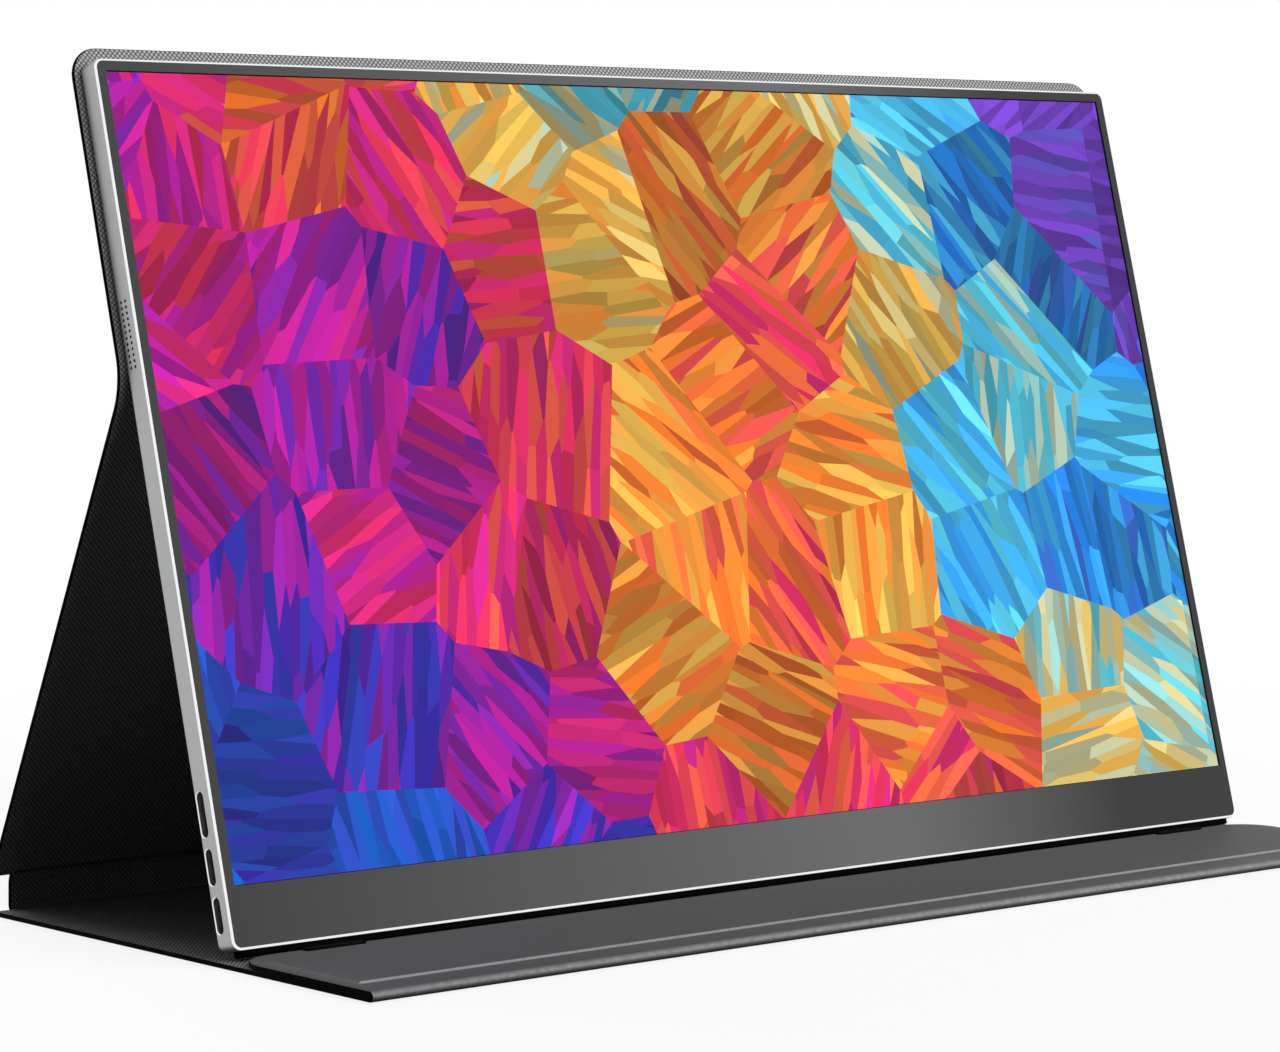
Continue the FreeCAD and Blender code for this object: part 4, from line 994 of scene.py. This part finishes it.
class FOLIO_OT_port_contacts(bpy.types.Operator):
    """Build the rows of plated contacts on the tongues of the ports"""

    bl_idname = "folio.port_contacts"
    bl_label = "Port contacts"

    def execute(self, context):
        case = context.scene.folio_case
        gold = plain_material("plated_contact", (0.83, 0.6, 0.24), 0.25, 1.0, 3000.0, 0.15)
        tree = contact_row_tree(gold)
        form = bmesh.new()
        tongue_rise = 0.35 * MM
        mouth_depth = 1.1 * MM
        length = 2.4 * MM
        wide_pitch = 0.8 * MM
        rows = [("mini_hdmi_port", 1, 10, wide_pitch), ("mini_hdmi_port", -1, 9, wide_pitch)]
        for port in ("usb_c_port_lower", "usb_c_port_upper"):
            rows += [(port, side, case.contact_count, case.contact_pitch) for side in (1, -1)]
        for port, side, count, pitch in rows:
            sizes = {"Count": count, "Pitch": pitch, "Length": length, "Width": 0.55 * pitch,
                     "Thickness": 0.08 * MM}
            row = self.row(context, tree, sizes)
            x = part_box(port)[0].x + mouth_depth + length / 2
            y = sum(span(port, FOOT, UP)) / 2 - (count - 1) * pitch / 2
            z = sum(span(port, FOOT, OUT)) / 2 + side * tongue_rise
            row.transform(MONITOR_PLACE @ Matrix.Translation((x, y, z)))
            form.from_mesh(row)
            bpy.data.meshes.remove(row)
        piece = finish_mesh("port_contacts", form, [gold], 30)
        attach(piece, "monitor")
        return {"FINISHED"}

    def row(self, context, tree, sizes):
        """Plain mesh of one row."""
        holder = bpy.data.objects.new("contact_holder", bpy.data.meshes.new("contact_holder"))
        context.scene.collection.objects.link(holder)
        maker = holder.modifiers.new("contacts", "NODES")
        maker.node_group = tree
        for item in tree.interface.items_tree:
            if item.in_out == "INPUT":
                maker[item.identifier] = sizes[item.name]
        graph = context.evaluated_depsgraph_get()
        mesh = bpy.data.meshes.new_from_object(holder.evaluated_get(graph))
        holder.modifiers.remove(maker)
        bpy.data.objects.remove(holder)
        if not mesh.vertices:
            raise RuntimeError("the contact row came out empty")
        return mesh


WHITE = (1, 1, 1, 1)
LAMPS = (
    ("key_lamp", (0.52, -1.3, 0.85), 1.7, 1.0),
    ("top_lamp", (-0.1, -0.2, 1.5), 0.9, 0.16),
    ("back_lamp", (0.0, 1.45, 0.75), 1.5, 0.8),
)
LAMP_AIM = Vector((0, 0, 0.1))
FLOOR_RADIUS = 14.0
FLOOR_DROP = 0.2 * MM


def white_when_seen(tree, output, lit, white, level):
    """Plain white where it is seen or mirrored, mixed with a lit surface or room for the rest."""
    path = node(tree, "ShaderNodeLightPath").outputs
    seen = maths(tree, "MAXIMUM", path["Is Camera Ray"], path["Is Glossy Ray"])
    seen = maths(tree, "MAXIMUM", seen, path["Is Transmission Ray"])
    share = maths(tree, "MULTIPLY", seen, level)
    mix = node(tree, "ShaderNodeMixShader", {0: share, 1: lit, 2: white})
    tree.links.new(mix.outputs[0], tree.nodes[output].inputs["Surface"])


class FOLIO_OT_stage(bpy.types.Operator):
    """Set up the floor, the soft studio light and the camera"""

    bl_idname = "folio.stage"
    bl_label = "Stage"

    def execute(self, context):
        stage = context.scene.folio_stage
        self.floor(context)
        self.room(context, stage.fill_level)
        for name, place, size, share in LAMPS:
            self.lamp(context, name, place, size, stage.key_power * share)
        self.camera(context, stage)
        context.scene.view_settings.view_transform = "Standard"
        return {"FINISHED"}

    def floor(self, context):
        """Round floor that fades from a shaded patch under the object to plain white."""
        form = bmesh.new()
        bmesh.ops.create_circle(form, cap_ends=True, segments=96, radius=FLOOR_RADIUS)
        mesh = bpy.data.meshes.new("floor")
        form.to_mesh(mesh)
        form.free()
        floor = bpy.data.objects.new("floor", mesh)
        floor.location = (0, 0, -FLOOR_DROP)
        context.scene.collection.objects.link(floor)
        material, tree, place = new_material("pale_floor")
        tree.nodes.remove(tree.nodes["Principled BSDF"])
        bounced, shown = [(level, level, level) for level in (0.08, 0.92)]
        near, distant, near_white = 0.2, 0.6, 0.88
        path = node(tree, "ShaderNodeLightPath").outputs
        colour = blend(tree, path["Is Camera Ray"], bounced, shown)
        lit = node(tree, "ShaderNodeBsdfDiffuse", {"Color": colour}).outputs[0]
        glow = node(tree, "ShaderNodeEmission", {"Color": WHITE, "Strength": 1.0}).outputs[0]
        far = between(tree, vector_maths(tree, "LENGTH", {0: place})["Value"], near, distant)
        level = maths(tree, "MULTIPLY_ADD", far, 1 - near_white, near_white)
        white_when_seen(tree, "Material Output", lit, glow, level)
        mesh.materials.append(material)

    def room(self, context, level):
        """White room that lights the object softly."""
        world = bpy.data.worlds.new("white_room")
        world.use_nodes = True
        context.scene.world = world
        tree = world.node_tree
        soft = tree.nodes["Background"]
        soft.inputs["Color"].default_value = WHITE
        soft.inputs["Strength"].default_value = level
        white = node(tree, "ShaderNodeBackground", {"Color": WHITE, "Strength": 1.0})
        white_when_seen(tree, "World Output", soft.outputs[0], white.outputs[0], 1.0)

    def lamp(self, context, name, place, size, power):
        """Round soft lamp that looks at the object."""
        light = bpy.data.lights.new(name, "AREA")
        light.shape = "DISK"
        light.size = size
        light.energy = power
        lamp = bpy.data.objects.new(name, light)
        lamp.location = place
        lamp.visible_glossy = False
        lamp.rotation_euler = (LAMP_AIM - Vector(place)).to_track_quat("-Z", "Y").to_euler()
        context.scene.collection.objects.link(lamp)

    def camera(self, context, stage):
        """Camera in the place of the one that took the picture."""
        lens = bpy.data.cameras.new("camera")
        lens.sensor_width = 36
        lens.lens = stage.camera_lens
        lens.clip_start = 0.05
        lens.clip_end = 60
        pan, tilt, roll = stage.camera_pan, stage.camera_tilt, stage.camera_roll
        ahead = Vector((math.sin(pan) * math.cos(tilt), math.cos(pan) * math.cos(tilt), -math.sin(tilt)))
        level = Vector((math.cos(pan), -math.sin(pan), 0))
        upright = level.cross(ahead)
        right = level * math.cos(roll) + upright * math.sin(roll)
        above = upright * math.cos(roll) - level * math.sin(roll)
        camera = bpy.data.objects.new("camera", lens)
        camera.matrix_world = placing(stage.camera_place, right, above, -ahead)
        context.scene.collection.objects.link(camera)
        context.scene.camera = camera


class FOLIO_PT_panel(bpy.types.Panel):
    """Sidebar list of the pieces and their settings"""

    bl_label = "Folio monitor"
    bl_idname = "FOLIO_PT_panel"
    bl_space_type = "VIEW_3D"
    bl_region_type = "UI"
    bl_category = "Folio"

    def draw(self, context):
        column = self.layout.column()
        for operator in OPERATORS:
            column.operator(operator.bl_idname)
        for name in SETTINGS:
            group = getattr(context.scene, name)
            for label in group.bl_rna.properties.keys():
                if label not in ("rna_type", "name"):
                    column.prop(group, label)


OPERATORS = (
    FOLIO_OT_finishes,
    FOLIO_OT_cover_panels,
    FOLIO_OT_cover_folds,
    FOLIO_OT_stop_pads,
    FOLIO_OT_port_contacts,
    FOLIO_OT_stage,
)
SETTINGS = {
    "folio_cover": CoverSettings,
    "folio_case": CaseSettings,
    "folio_screen": ScreenSettings,
    "folio_stage": StageSettings,
}


def register():
    """Make the settings, operators and panel known to Blender."""
    for name, group in SETTINGS.items():
        bpy.utils.register_class(group)
        setattr(bpy.types.Scene, name, bpy.props.PointerProperty(type=group))
    for operator in OPERATORS:
        bpy.utils.register_class(operator)
    bpy.utils.register_class(FOLIO_PT_panel)


def unregister():
    """Take the panel, operators and settings away again."""
    bpy.utils.unregister_class(FOLIO_PT_panel)
    for operator in reversed(OPERATORS):
        bpy.utils.unregister_class(operator)
    for name, group in SETTINGS.items():
        delattr(bpy.types.Scene, name)
        bpy.utils.unregister_class(group)


def main():
    """Build every piece around the frame."""
    register()
    bpy.ops.folio.finishes()
    bpy.ops.folio.cover_panels()
    bpy.ops.folio.cover_folds()
    bpy.ops.folio.stop_pads()
    bpy.ops.folio.port_contacts()
    bpy.ops.folio.stage()


if __name__ == "__main__":
    main()
